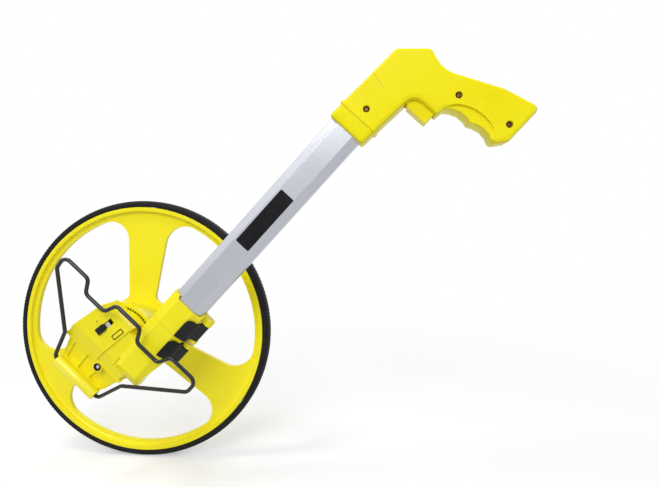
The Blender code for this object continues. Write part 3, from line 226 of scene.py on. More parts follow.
glossLook = {
    "dark": (0.004, 0.004, 0.005),
    "light": (0.011, 0.011, 0.013),
    "cloud": (120.0, 5.0, 0.6),
    "span": (0.3, 0.8),
    "grain": (35.0, 2.0),
    "bump": (0.12, 0.001),
    "softEdge": 0.0002,
}

satinLook = {
    "dark": (0.006, 0.006, 0.007),
    "light": (0.012, 0.012, 0.013),
    "worn": (0.04, 0.04, 0.042),
    "wornEdge": (0.0006, 0.82, 0.985),    # radius, and where the wear starts and ends
    "cloud": (90.0, 5.0, 0.65),
    "span": (0.3, 0.8),
    "grain": (1100.0, 2.0),
    "rough": (0.32, 0.48),
    "sockets": {"Specular IOR Level": 0.22},
    "bump": (0.12, 0.0002),
    "softEdge": 0.0004,
}

metalLook = {
    "cloud": (260.0, 5.0, 0.7),
    "span": (0.3, 0.6),
    "rough": (0.22, 0.42),
    "sockets": {"Metallic": 1.0},
    "bump": (0.08, 0.0002),
    "softEdge": 0.0002,
    "darkShare": 0.55,            # of the tint
}

plasticLook = {
    "cloud": (120.0, 4.0),
    "span": (0.3, 0.7),
    "rough": (0.35, 0.5),
    "bump": (0.05, 0.0003),
    "softEdge": 0.0002,
}

lensLook = {
    "dark": (0.86, 0.89, 0.90),
    "light": (0.95, 0.97, 0.98),
    "cloud": (200.0, 5.0, 0.7),
    "span": (0.35, 0.65),
    "rough": (0.03, 0.10),
    "sockets": {"Transmission Weight": 0.92, "IOR": 1.49},
    "bump": (0.02, 0.0003),
    "softEdge": 0,
}


def metal(name, tint):
    dark = tuple(channel * metalLook["darkShare"] for channel in tint)
    return plainFinish(name, metalLook, dark=dark, light=tint)


def black(name, rough, gloss):
    return plainFinish(name, glossLook, rough=rough, sockets={"Specular IOR Level": gloss})


def plastic(name, dark, light):
    return plainFinish(name, plasticLook, dark=dark, light=light)


tubeLook = {
    "dark": (0.43, 0.44, 0.485),
    "light": (0.48, 0.49, 0.54),
    "stretch": (700, 700, 5),     # draws the noise out along the pole
    "lines": (1.0, 4.0, 0.6),
    "lineSpan": (0.25, 0.75),
    "cloud": (26.0, 3.0),
    "rough": (0.30, 0.36),
    "anisotropic": 0.3,
    "lineBump": (0.05, 0.0001),
    "softEdge": 0.0004,
}


def brushedTube(name):
    look = tubeLook
    material, tree, shader = newMaterial(name)
    turn = (0, math.pi / 2 - tool["poleLean"], 0)
    place = tree.nodes.new("ShaderNodeTexCoord")
    unturn = addNode(tree, "ShaderNodeMapping", vector_type="TEXTURE")
    unturn.inputs["Rotation"].default_value = turn
    tree.links.new(place.outputs["Object"], unturn.inputs["Vector"])
    streak = addNode(tree, "ShaderNodeMapping")
    streak.inputs["Scale"].default_value = look["stretch"]
    tree.links.new(unturn.outputs["Vector"], streak.inputs["Vector"])
    lines = noise(tree, streak.outputs["Vector"], *look["lines"])
    cloud = noise(tree, unturn.outputs["Vector"], *look["cloud"])
    tree.links.new(ramp(tree, lines, look["dark"], look["light"], *look["lineSpan"]),
                   shader.inputs["Base Color"])
    shader.inputs["Metallic"].default_value = 1.0
    tree.links.new(spread(tree, cloud, *look["rough"]), shader.inputs["Roughness"])
    shader.inputs["Anisotropic"].default_value = look["anisotropic"]
    bump(tree, shader, ((lines, *look["lineBump"]),), look["softEdge"])
    return material


finishes = {
    "wheelYellow": mouldedYellow("wheelYellow", 700.0, 0.0008, 0.28),
    "housingYellow": mouldedYellow("housingYellow", 1000.0, 0.0006, 0.28),
    "barrelYellow": mouldedYellow("barrelYellow", 1000.0, 0.0006, 0.70),
    "handleYellow": mouldedYellow("handleYellow", 1200.0, 0.0010, 0.07),
    "tyreRubber": plainFinish("tyreRubber", rubberLook),
    "poleAluminium": brushedTube("poleAluminium"),
    "standBlack": black("standBlack", (0.104, 0.182), 0.45),
    "labelBlack": black("labelBlack", (0.272, 0.476), 0.12),
    "leverBlack": plainFinish("leverBlack", satinLook),
    "printBlack": black("printBlack", (0.32, 0.56), 0.1),
    "printBrown": plastic("printBrown", (0.22, 0.14, 0.01), (0.32, 0.21, 0.015)),
    # darker yellow painted shade: it stands in for the shade inside a shallow groove on the handle
    "creasePaintedShade": plastic("creasePaintedShade", (0.60, 0.42, 0.002), (0.70, 0.50, 0.002)),
    "screwSteel": metal("screwSteel", (0.56, 0.56, 0.58)),
    # dark brown painted shade: the handle screws are darkened so that their deep holes read as shaded
    "screwPaintedShade": metal("screwPaintedShade", (0.16, 0.085, 0.05)),
    "bushBronze": metal("bushBronze", (0.55, 0.40, 0.22)),
    "counterWhite": plastic("counterWhite", (0.70, 0.70, 0.67), (0.80, 0.80, 0.78)),
    "windowClear": plainFinish("windowClear", lensLook),
}

nodeFinish = {
    "wheelYellow": ("wheel", "hub_cup", "drive_ring", "hub_cap"),
    "housingYellow": ("hub_housing", "counter_cover", "lower_collar", "upper_collar"),
    "handleYellow": ("handle_near", "handle_far", "trigger"),
    "tyreRubber": ("tyre",),
    "poleAluminium": ("inner_tube", "middle_tube", "outer_tube"),
    "standBlack": ("stand_wire",),
    "leverBlack": ("lower_lever", "upper_lever", "reset_slider", "inner_tube_plug",
                   "middle_tube_plug"),
    "screwSteel": ("axle", "axle_nut_inner", "axle_nut_outer", "cover_screw", "hub_screw_1",
                   "hub_screw_2", "hub_screw_3", "lower_lever_pin", "upper_lever_pin",
                   "trigger_pin"),
    # the handle screws carry painted shade of their holes
    "screwPaintedShade": ("handle_screw_1", "handle_screw_2", "handle_screw_3"),
    "bushBronze": ("wheel_bush_near", "wheel_bush_far"),
    "counterWhite": ("counter_pinion", "digit_drum_1", "digit_drum_2", "digit_drum_3",
                     "digit_drum_4", "digit_drum_5"),
    "windowClear": ("counter_window",),
}
for finishName, names in nodeFinish.items():
    for name in names:
        node = nodes[name]
        node.data.materials.clear()
        node.data.materials.append(finishes[finishName])
print("finishes set on the CAD nodes")


softEdges = {
    "weldDistance": 5e-6,
    "flatAngle": math.radians(1),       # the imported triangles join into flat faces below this
    "smoothAngle": math.radians(32),    # edges steeper than this stay sharp
    "roundAngle": math.radians(12),     # folds steeper than this are rounded
    "steps": 2,
    "width": 0.0006,
}

# edge rounding in metres, where it isn't the usual one
edgeWidths = {
    "wheel": 0.0005, "handle_near": 0.0008, "handle_far": 0.0008, "trigger": 0.0004,
    "drive_ring": 0.0002, "counter_pinion": 0.0002, "reset_slider": 0.0003,
    "lower_lever": 0.0003, "upper_lever": 0.0003,
}


def smoothGroup():
    # clears the imported normals and shades smooth, with edges above the angle kept sharp
    group = bpy.data.node_groups.new("smoothByAngle", "GeometryNodeTree")
    group.interface.new_socket("Geometry", in_out="INPUT", socket_type="NodeSocketGeometry")
    group.interface.new_socket("Geometry", in_out="OUTPUT", socket_type="NodeSocketGeometry")
    last = group.nodes.new("NodeGroupInput").outputs[0]
    for attribute in ("custom_normal", "sharp_face", "sharp_edge"):
        clear = group.nodes.new("GeometryNodeRemoveAttribute")
        clear.inputs["Name"].default_value = attribute
        group.links.new(last, clear.inputs["Geometry"])
        last = clear.outputs["Geometry"]
    faces = group.nodes.new("GeometryNodeSetShadeSmooth")
    group.links.new(last, faces.inputs["Geometry"])
    angle = group.nodes.new("GeometryNodeInputMeshEdgeAngle")
    steep = group.nodes.new("FunctionNodeCompare")
    steep.operation = "LESS_THAN"
    steep.inputs[1].default_value = softEdges["smoothAngle"]
    group.links.new(angle.outputs["Unsigned Angle"], steep.inputs[0])
    edges = group.nodes.new("GeometryNodeSetShadeSmooth")
    edges.domain = "EDGE"
    group.links.new(faces.outputs["Geometry"], edges.inputs["Geometry"])
    group.links.new(steep.outputs[0], edges.inputs["Shade Smooth"])
    end = group.nodes.new("NodeGroupOutput")
    group.links.new(edges.outputs["Geometry"], end.inputs[0])
    return group


smoothShading = smoothGroup()


def softenNode(node, width, roundAngle):
    weld = node.modifiers.new("weld", "WELD")
    weld.merge_threshold = softEdges["weldDistance"]
    flat = node.modifiers.new("joinFlatFaces", "DECIMATE")
    flat.decimate_type = "DISSOLVE"
    flat.angle_limit = softEdges["flatAngle"]
    smooth = node.modifiers.new("smoothByAngle", "NODES")
    smooth.node_group = smoothShading
    if width:
        edge = node.modifiers.new("roundEdges", "BEVEL")
        edge.width = width
        edge.segments = softEdges["steps"]
        edge.limit_method = "ANGLE"
        edge.angle_limit = roundAngle
    node.modifiers.new("evenNormals", "WEIGHTED_NORMAL").keep_sharp = True


for finishName in ("wheelYellow", "housingYellow", "handleYellow", "leverBlack"):
    angle = softEdges["roundAngle"] if finishName == "housingYellow" else softEdges["smoothAngle"]
    for name in nodeFinish[finishName]:
        softenNode(nodes[name], edgeWidths.get(name, softEdges["width"]), angle)
for name in ("inner_tube", "middle_tube", "outer_tube", "axle", "digit_drum_1", "digit_drum_2",
             "digit_drum_3", "digit_drum_4", "digit_drum_5"):
    softenNode(nodes[name], 0, 0)
print("edges rounded")


def lathe(bm, profile, steps, middle=(0, 0)):
    # turns a closed (radius, depth) profile about the depth axis
    loops = []
    for radius, depth in profile:
        turns = [2 * math.pi * step / steps for step in range(steps)]
        loops.append([bm.verts.new((middle[0] + radius * math.cos(turn), -depth,
                                    middle[1] + radius * math.sin(turn))) for turn in turns])
    for here, there in zip(loops, loops[1:] + loops[:1]):
        for step in range(steps):
            after = (step + 1) % steps
            bm.faces.new((here[step], here[after], there[after], there[step]))


def slab(bm, outline, low, high):
    # a plate between two depths, from an outline of (across, up)
    loops = [[bm.verts.new((across, -depth, up)) for across, up in outline]
             for depth in (low, high)]
    count = len(outline)
    for step in range(count):
        after = (step + 1) % count
        bm.faces.new((loops[0][step], loops[0][after], loops[1][after], loops[1][step]))
    bm.faces.new(loops[0][::-1])
    bm.faces.new(loops[1])


def frameSlab(bm, outer, inner, low, high):
    # a plate with an opening: both outlines have as many points
    loops = []
    for outline, depth in ((outer, low), (outer, high), (inner, high), (inner, low)):
        loops.append([bm.verts.new((across, -depth, up)) for across, up in outline])
    count = len(outer)
    for here, there in zip(loops, loops[1:] + loops[:1]):
        for step in range(count):
            after = (step + 1) % count
            bm.faces.new((here[step], here[after], there[after], there[step]))


def roundedBox(width, height, radius, middle=(0, 0), turn=0.0, steps=5):
    points = []
    for quarter, (side, top) in enumerate(((1, 1), (-1, 1), (-1, -1), (1, -1))):
        for step in range(steps + 1):
            angle = math.pi / 2 * (quarter + step / steps)
            points.append((side * (width / 2 - radius) + radius * math.cos(angle),
                           top * (height / 2 - radius) + radius * math.sin(angle)))
    cosine, sine = math.cos(turn), math.sin(turn)
    return [(middle[0] + a * cosine + b * sine, middle[1] - a * sine + b * cosine)
            for a, b in points]


capEnds = {
    "sides": 12,
    "rings": 5,
    "tipStep": 0.35,              # of a ring's step, from a tip to the ring nearest to it
    "tipShare": 0.02,             # of the radius: the least a ring can have
}


def capsule(bm, start, end, radius):
    # a rod with round ends
    sides, rings, tip = capEnds["sides"], capEnds["rings"], capEnds["tipStep"]
    start, end = Vector(start), Vector(end)
    along = (end - start).normalized()
    across = along.orthogonal().normalized()
    other = along.cross(across)
    loops = []
    for place, first in ((start, -1), (end, 0)):
        for ring in range(rings):
            turn = math.pi / 2 * (first + (ring + (tip if first else 0)) / (rings - 1 + tip))
            width = radius * max(math.cos(turn), capEnds["tipShare"])
            middle = place + along * radius * math.sin(turn)
            loops.append([bm.verts.new(middle + (across * math.cos(angle) + other * math.sin(angle))
                                       * width)
                          for angle in [2 * math.pi * side / sides for side in range(sides)]])
    for here, there in zip(loops, loops[1:]):
        for side in range(sides):
            after = (side + 1) % sides
            bm.faces.new((here[side], here[after], there[after], there[side]))
    bm.faces.new(loops[0])
    bm.faces.new(loops[-1][::-1])


def cornerArc(here, before, after, radius, steps):
    # the arc that rounds one corner of a path
    here, toBefore, toAfter = Vector(here), Vector(before) - Vector(here), Vector(after) - Vector(here)
    half = toBefore.angle(toAfter) / 2
    reach = min(radius / math.tan(half), toBefore.length / 2, toAfter.length / 2)
    radius = reach * math.tan(half)
    start = here + toBefore.normalized() * reach
    end = here + toAfter.normalized() * reach
    middle = here + (toBefore.normalized() + toAfter.normalized()).normalized() * (
        math.hypot(reach, radius))
    turn = (start - middle).angle_signed(end - middle)
    arc = []
    for step in range(steps + 1):
        spoke = (start - middle).copy()
        spoke.rotate(Matrix.Rotation(-turn * step / steps, 2))
        arc.append(middle + spoke)
    return arc


# how edges are rounded, and the degrees above which they stay sharp on each kind of piece
pieceEdges = {
    "steps": 2,
    "angle": math.radians(40),
    "wheel": 32.0,
    "flat": 35.0,
    "turned": 40.0,
    "ridged": 50.0,
}


def addPiece(name, bm, finishName, body, space, smoothAngle=pieceEdges["flat"], edge=0):
    bmesh.ops.recalc_face_normals(bm, faces=bm.faces)
    mesh = bpy.data.meshes.new(name)
    bm.to_mesh(mesh)
    bm.free()
    mesh.shade_smooth()
    mesh.set_sharp_from_angle(angle=math.radians(smoothAngle))
    mesh.materials.append(finishes[finishName])
    piece = bpy.data.objects.new(name, mesh)
    piece.matrix_world = space
    bpy.context.scene.collection.objects.link(piece)
    if edge:
        rounding = piece.modifiers.new("roundEdges", "BEVEL")
        rounding.width = edge
        rounding.segments = pieceEdges["steps"]
        rounding.limit_method = "ANGLE"
        rounding.angle_limit = pieceEdges["angle"]
        piece.modifiers.new("evenNormals", "WEIGHTED_NORMAL").keep_sharp = True
    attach(piece, body)
    return piece


tyreTread = {
    "width": 0.0190,
    "depth": 0.0075,          # from its seat to the tread
    "shoulder": 0.0026,       # how far the sides stay below the crown
    "corner": 0.0005,
    "grooves": 220,
    "grooveDepth": 0.0005,
    "plainShare": 0.35,       # of the half width: the middle band without grooves
    "grooveSteps": 4,         # round the tyre, from one groove to the next
    "crownSteps": 6,
    "crownPower": 4,
}


def tyreProfile():
    half, radius = tyreTread["width"] / 2, tool["wheelRadius"]
    seat, corner = radius - tyreTread["depth"], tyreTread["corner"]
    points = [(seat, half - corner, 0.0), (seat + corner, half, 0.0)]
    steps = tyreTread["crownSteps"]
    crown = [math.sin(math.pi / 2 * step / steps) for step in range(steps, -steps - 1, -1)]
    for share in crown:
        groove = 1.0 if abs(share) > tyreTread["plainShare"] else 0.0
        drop = tyreTread["shoulder"] * abs(share) ** tyreTread["crownPower"]
        points.append((radius - drop, half * share, groove))
    return points + [(seat + corner, -half, 0.0), (seat, corner - half, 0.0)]


def makeTyre():
    bm = bmesh.new()
    profile = tyreProfile()
    steps = tyreTread["grooves"] * tyreTread["grooveSteps"]
    loops = []
    for step in range(steps):
        turn = 2 * math.pi * step / steps
        sunk = tyreTread["grooveDepth"] if step % tyreTread["grooveSteps"] == 0 else 0.0
        loops.append([bm.verts.new(((radius - sunk * groove) * math.cos(turn), -depth,
                                    (radius - sunk * groove) * math.sin(turn)))
                      for radius, depth, groove in profile])
    count = len(profile)
    for here, there in zip(loops, loops[1:] + loops[:1]):
        for step in range(count):
            after = (step + 1) % count
            bm.faces.new((here[step], here[after], there[after], there[step]))
    piece = addPiece("tyreTread", bm, "tyreRubber", "wheel_body", wheelSpace,
                     pieceEdges["ridged"])
    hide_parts("tyre")


wheelShape = {
    "seat": 0.151355,         # the rim's outer radius, just inside the tyre
    "half": 0.0093,
    "edge": 0.0009,
    "lip": 0.0052,            # width of the rim's front lip
    "windowRadius": 0.140855,
    "windowInner": 0.0425,
    "outerCorner": 0.0240,
    "innerCorner": 0.0080,
    "spokes": 3,
    "spokeTurn": math.radians(86.3),
    "spokeHalf": 0.0165,      # at the inner end
    "spokeFlare": math.radians(6),
    "webRim": 0.0042,         # the web's front at the rim and at the hub
    "webHub": 0.0135,
    "webThickness": 0.0055,
    "hubRadius": 0.0330,
    "hubBack": 0.0110,
    "sleeveRadius": 0.01135,
    "sleeveEnd": 0.06425,
    "bore": 0.0083,
    "screwCircle": 0.0265,
    "screwHole": 0.0021,
    "steps": 180,
    "arcSteps": 12,
    "holeSteps": 16,
    "edgeShare": 0.3,         # of an edge's width, at the middle of its rounding
    "fillet": (0.0004, 0.0014),
    "flangeWidth": 0.0030,
    "flangeRise": 0.0003,     # of the web, this far in from the lip
    "flangeReach": 0.0110,
    "hubBackShare": 0.8,      # of the hub radius: its flat back
    "cutShares": (1.5, 1.2),  # how far the cutters go past the rim's back and the hub's front
    "roundEdge": 0.0006,
}


def cornerCentre(radius, toCircle):
    # the middle of a round corner between a spoke's side and a circle, beside a spoke that lies
    # along the first axis
    flare, start = wheelShape["spokeFlare"], wheelShape["windowInner"]
    slope = math.tan(flare)
    lift = wheelShape["spokeHalf"] + radius / math.cos(flare) - slope * start
    # (s, lift + slope s) lies at the distance toCircle from the axle
    square, linear, rest = 1 + slope ** 2, 2 * slope * lift, lift ** 2 - toCircle ** 2
    along = (-linear + math.sqrt(linear ** 2 - 4 * square * rest)) / (2 * square)
    return Vector((along, lift + slope * along))


def arcPoints(middle, radius, first, last, steps):
    turns = [first + (last - first) * step / steps for step in range(steps + 1)]
    return [Vector((middle[0] + radius * math.cos(turn), middle[1] + radius * math.sin(turn)))
            for turn in turns]


def windowOutline(middleTurn):
    # one side of the opening, from its inner to its outer middle, and then that side mirrored
    sector, steps = math.pi / wheelShape["spokes"], wheelShape["arcSteps"]
    inner, outer = wheelShape["innerCorner"], wheelShape["outerCorner"]
    low = cornerCentre(inner, wheelShape["windowInner"] + inner)
    high = cornerCentre(outer, wheelShape["windowRadius"] - outer)
    toSide = wheelShape["spokeFlare"] - math.pi / 2
    lowTurn, highTurn = math.atan2(low.y, low.x), math.atan2(high.y, high.x)
    side = arcPoints((0, 0), wheelShape["windowInner"], sector, lowTurn, steps)[:-1]
    side += arcPoints(low, inner, lowTurn + math.pi, toSide + 2 * math.pi, steps)
    side += arcPoints(high, outer, toSide, highTurn, steps)
    side += arcPoints((0, 0), wheelShape["windowRadius"], highTurn, sector, steps * 2)[1:]
    mirrored = []
    for point in side[-2:0:-1]:
        turn = 2 * sector - math.atan2(point.y, point.x)
        mirrored.append(Vector((point.length * math.cos(turn), point.length * math.sin(turn))))
    turn = Matrix.Rotation(middleTurn - sector, 2)
    return [tuple(turn @ point) for point in side + mirrored]


def wheelProfile():
    shape = wheelShape
    half, edge, seat = shape["half"], shape["edge"], shape["seat"]
    wall, webRim = seat - shape["lip"], shape["webRim"]
    webBack = webRim - shape["webThickness"]
    mid, flange = edge * shape["edgeShare"], wall - shape["flangeWidth"]
    near, far = shape["fillet"]
    front = [(seat, half - edge), (seat - mid, half - mid), (seat - edge, half),
             (wall + edge, half), (wall + mid, half - mid), (wall, half - edge),
             (wall - near, webRim + far), (wall - far, webRim + near), (flange, webRim),
             (wall - shape["flangeReach"], webRim + shape["flangeRise"])]
    hub = [(shape["hubRadius"], shape["webHub"]), (shape["sleeveRadius"], shape["webHub"]),
           (shape["sleeveRadius"], shape["sleeveEnd"]), (shape["bore"], shape["sleeveEnd"]),
           (shape["bore"], -shape["hubBack"]),
           (shape["hubRadius"] * shape["hubBackShare"], -shape["hubBack"]),
           (shape["hubRadius"], shape["webHub"] - shape["webThickness"])]
    back = [(flange, webBack), (wall - far, webBack - near),
            (wall - near, webBack - far), (wall, edge - half), (wall + edge, -half),
            (seat - edge, -half), (seat, edge - half)]
    return front + hub + back


def solidObject(name, bm):
    bmesh.ops.recalc_face_normals(bm, faces=bm.faces)
    mesh = bpy.data.meshes.new(name)
    bm.to_mesh(mesh)
    bm.free()
    solid = bpy.data.objects.new(name, mesh)
    bpy.context.scene.collection.objects.link(solid)
    return solid


def makeWheel():
    shape = wheelShape
    bm = bmesh.new()
    lathe(bm, wheelProfile(), shape["steps"])
    blank = solidObject("wheelBlank", bm)
    cutters = []
    pastBack, pastFront = shape["cutShares"]
    for spoke in range(shape["spokes"]):
        turn = shape["spokeTurn"] + 2 * math.pi * spoke / shape["spokes"]
        middle = (shape["screwCircle"] * math.cos(turn), shape["screwCircle"] * math.sin(turn))
        hole = arcPoints(middle, shape["screwHole"], 0, 2 * math.pi, shape["holeSteps"])[:-1]
        opening = windowOutline(turn + math.pi / shape["spokes"])
        for outline in (opening, [tuple(point) for point in hole]):
            bm = bmesh.new()
            slab(bm, outline, -shape["half"] * pastBack, shape["webHub"] * pastFront)
            cutters.append(solidObject("wheelCutter", bm))
            cut = blank.modifiers.new("cut", "BOOLEAN")
            cut.solver = "EXACT"
            cut.object = cutters[-1]
    graph = bpy.context.evaluated_depsgraph_get()
    bm = bmesh.new()
    bm.from_mesh(blank.evaluated_get(graph).to_mesh())
    for spare in [blank, *cutters]:
        bpy.data.objects.remove(spare, do_unlink=True)
    piece = addPiece("wheelMoulding", bm, "wheelYellow", "wheel_body", wheelSpace,
                     pieceEdges["wheel"], shape["roundEdge"])
    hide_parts("wheel")


stand = {
    "hinge": (0, -0.0855, -0.0520),
    "lean": math.radians(11.0),
    "wireRadius": 0.0021,
    "middle": -0.0030,        # of the barrel it turns in
    "barrelHalf": 0.0285,
    "sideGap": 0.0042,
    "pinDepth": 0.0075,
    "bend": 0.0062,
    "footBend": 0.0081,
    "footShift": 0.0065,
    "footHalf": 0.0945,
    "footHeight": 0.1015,
    "footCorner": 0.0850,
    "kneeHalf": 0.0420,
    "kneeHeight": 0.0330,
    "stepShift": 0.0057,
    "stepHeight": 0.0860,
    "stepOuter": 0.0592,
    "stepInner": 0.0522,
    "bumpShift": 0.0042,
    "bumpOuter": 0.0235,
    "bumpInner": 0.0170,
    "arcSteps": 10,
    "sides": 20,
}


def standPath():
    low, high, bend = stand["stepHeight"], stand["footHeight"], stand["bend"]
    kneeShift = stand["footShift"] * stand["kneeHeight"] / high
    places = ((kneeShift, stand["kneeHalf"], stand["kneeHeight"], bend),
              (stand["footShift"], stand["footHalf"], stand["footCorner"], stand["footBend"]),
              (stand["footShift"], stand["footHalf"], high, stand["footBend"]),
              (stand["stepShift"], stand["stepOuter"], high, bend),
              (stand["stepShift"], stand["stepInner"], low, bend),
              (stand["bumpShift"], stand["bumpOuter"], low, bend),
              (stand["bumpShift"], stand["bumpInner"], high, bend))
    halves = []
    for sign in (-1, 1):
        end = (stand["middle"] + sign * (stand["barrelHalf"] - stand["pinDepth"]), 0, 0)
        turn = (stand["middle"] + sign * (stand["barrelHalf"] + stand["sideGap"]), 0, bend)
        halves.append([end, turn] + [(stand["middle"] + shift + sign * half, height, radius)
                                     for shift, half, height, radius in places])
    corners = halves[0] + halves[1][::-1]
    path = [Vector(corners[0][:2])]
    for before, here, after in zip(corners, corners[1:], corners[2:]):
        path += cornerArc(here[:2], before[:2], after[:2], here[2], stand["arcSteps"])
    return path + [Vector(corners[-1][:2])]


def makeStand():
    bm = bmesh.new()
    path = standPath()
    loops = []
    for index, here in enumerate(path):
        before, after = path[max(index - 1, 0)], path[min(index + 1, len(path) - 1)]
        along = (after - before).normalized()
        side = Vector((along.y, 0, -along.x))
        middle = Vector((here.x, 0, here.y))
        loops.append([bm.verts.new(middle + stand["wireRadius"] * (
            side * math.cos(turn) + Vector((0, 1, 0)) * math.sin(turn)))
            for turn in [2 * math.pi * step / stand["sides"] for step in range(stand["sides"])]])
    for here, there in zip(loops, loops[1:]):
        for step in range(stand["sides"]):
            after = (step + 1) % stand["sides"]
            bm.faces.new((here[step], here[after], there[after], there[step]))
    bm.faces.new(loops[0])
    bm.faces.new(loops[-1][::-1])
    space = hubSpace @ Matrix.Translation(stand["hinge"]) @ Matrix.Rotation(stand["lean"], 4, "X")
    piece = addPiece("standWire", bm, "standBlack", "stand_body", space,
                     pieceEdges["turned"])
    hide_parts("stand_wire")


makeTyre()
makeWheel()
makeStand()
print("tyre, wheel and stand wire made")


tubeLabel = {
    "low": 0.1800,            # levels up the pole
    "high": 0.2510,
    "left": -0.0080,
    "right": 0.0094,
    "corner": 0.0012,
    "face": 0.0100,           # the tube's front face, from the pole's middle
    "thickness": 0.0003,
    "sunk": 0.0001,
    "roundEdge": 0.00008,
}


def makeTubeLabel():
    bm = bmesh.new()
    left, right, low, high = [tubeLabel[side] for side in ("left", "right", "low", "high")]
    outline = roundedBox(right - left, high - low, tubeLabel["corner"],
                         ((left + right) / 2, (low + high) / 2))
    slab(bm, outline, tubeLabel["face"] - tubeLabel["sunk"],
         tubeLabel["face"] + tubeLabel["thickness"])
    addPiece("tubeLabel", bm, "labelBlack", "outer_body", poleSpace,
             edge=tubeLabel["roundEdge"])


counterFace = {
    "depth": 0.0910,          # the cover's front face, from the wheel's middle
    "lean": math.radians(9),
    "iconMiddle": (0.0014, 0.0186),
    "iconSize": (0.0058, 0.0139),
    "iconStroke": 0.0010,
    "iconRise": 0.00012,
    "iconSunk": 0.0001,
    "iconInnerShare": 0.25,   # of the stroke: the corner radius inside
    "markMiddle": (-0.0244, 0.0131),
    "markSize": (0.0009, 0.0032),
    "markCorner": 0.0003,
    "markLean": math.radians(-27),
}


def makeIcon():
    width, height = counterFace["iconSize"]
    stroke, lean = counterFace["iconStroke"], counterFace["lean"]
    low = counterFace["depth"] - counterFace["iconSunk"]
    high = counterFace["depth"] + counterFace["iconRise"]
    bm = bmesh.new()
    frameSlab(bm, roundedBox(width, height, stroke, counterFace["iconMiddle"], lean),
              roundedBox(width - 2 * stroke, height - 2 * stroke,
                         stroke * counterFace["iconInnerShare"],
                         counterFace["iconMiddle"], lean), low, high)
    addPiece("counterIcon", bm, "printBlack", "housing", hubSpace)
    bm = bmesh.new()
    slab(bm, roundedBox(*counterFace["markSize"], counterFace["markCorner"],
                        counterFace["markMiddle"], counterFace["markLean"]), low, high)
    addPiece("resetMark", bm, "printBrown", "housing", hubSpace)


slider = {
    "rail": (-0.0161, -0.0910, 0.0048),
    "width": 0.0074,
    "length": 0.0106,
    "top": 0.0025,            # its cap's face above the cover's
    "ridges": 4,
    "ridgeRadius": 0.0005,
    "plateLength": 0.0156,
    "plateDepth": 0.0023,     # of the plate behind the cover
    "slotHalf": 0.0028,
    "ridgeShare": 0.4,        # of its radius: how far a ridge's middle is behind the face
    "plateCorner": 0.0007,
    "plateSkin": 0.0002,
}
railSpace = (hubSpace @ Matrix.Translation(slider["rail"])
             @ Matrix.Rotation(counterFace["lean"], 4, "Y"))


def makeSliderDetails():
    bm = bmesh.new()
    half = slider["width"] / 2 - slider["ridgeRadius"] * 2
    for ridge in range(slider["ridges"]):
        level = slider["length"] * (ridge + 0.5) / slider["ridges"]
        depth = -slider["top"] + slider["ridgeRadius"] * slider["ridgeShare"]
        capsule(bm, (-half, depth, level), (half, depth, level), slider["ridgeRadius"])
    addPiece("sliderRidges", bm, "leverBlack", "slider_body", railSpace,
             pieceEdges["ridged"])
    bm = bmesh.new()
    middle = (0, (slider["length"] + slider["plateLength"]) / 2)
    slab(bm, roundedBox(slider["slotHalf"] * 2, slider["plateLength"] - slider["length"],
                        slider["plateCorner"], middle),
         -slider["plateDepth"], slider["plateSkin"] - slider["plateDepth"])
    addPiece("sliderPlateFace", bm, "counterWhite", "slider_body", railSpace)


coverScrew = {
    "middle": (0.0072, -0.0265),
    "face": 0.0862,
    "outer": 0.0042,
    "inner": 0.0033,
    "recess": 0.00355,
    "depth": 0.0028,
    "rise": 0.0002,
    "steps": 40,
}


def makeScrewLiner():
    # a black ring on the boss's face and a black sleeve down the recess wall: painted shade of the
    # cover screw's deep recess
    bm = bmesh.new()
    face, rise = coverScrew["face"], coverScrew["rise"]
    lathe(bm, [(coverScrew["outer"], face - rise / 2), (coverScrew["outer"], face + rise),
               (coverScrew["inner"], face + rise), (coverScrew["inner"], face - coverScrew["depth"]),
               (coverScrew["recess"], face - coverScrew["depth"]),
               (coverScrew["recess"], face - rise / 2)], coverScrew["steps"],
          coverScrew["middle"])
    addPiece("screwRecessShade", bm, "leverBlack", "housing", hubSpace)


seam = {"across": 0.0006, "low": -0.0195, "high": 0.0345, "width": 0.0003, "back": 0.0705,
        "front": 0.0886}


def makeSeamStrip():
    # the cover's foot lip, seen as a shallow step beside the block
    bm = bmesh.new()
    shift = (seam["high"] - seam["low"]) * math.tan(counterFace["lean"])
    outline = [(seam["across"], seam["low"]), (seam["across"] + seam["width"], seam["low"]),
               (seam["across"] + seam["width"] + shift, seam["high"]),
               (seam["across"] + shift, seam["high"])]
    slab(bm, outline, seam["back"], seam["front"])
    addPiece("coverSeam", bm, "housingYellow", "housing", hubSpace)


barrel = {
    "middle": (0, -0.0855, -0.0520),   # across, front and level
    "left": -0.0315,
    "right": 0.0255,
    "radius": 0.00606,
    "bore": 0.0025,
    "edge": 0.0006,
    "edgeShare": 0.3,
    "steps": 64,
}


def makeBarrelSkin():
    # a smooth turned skin round the hinge barrel
    bm = bmesh.new()
    left, right, edge, radius = barrel["left"], barrel["right"], barrel["edge"], barrel["radius"]
    mid = edge * barrel["edgeShare"]
    lathe(bm, [(barrel["bore"], -left), (radius - edge, -left), (radius - mid, -left - mid),
               (radius, -left - edge), (radius, -right + edge), (radius - mid, -right + mid),
               (radius - edge, -right), (barrel["bore"], -right)], barrel["steps"])
    space = hubSpace @ Matrix.Translation(barrel["middle"]) @ Matrix.Rotation(-math.pi / 2, 4, "Z")
    addPiece("barrelSkin", bm, "barrelYellow", "housing", space,
             pieceEdges["turned"])


handleCrease = {
    "start": (-0.0165, 0.3977),   # across and up the pole
    "end": (0.0008, 0.3935),
    "width": 0.0005,
    "cornerShare": 1 / 2.2,       # of the width
    "face": 0.0150,
    "sunk": 0.0002,
    "rise": 0.00004,
}


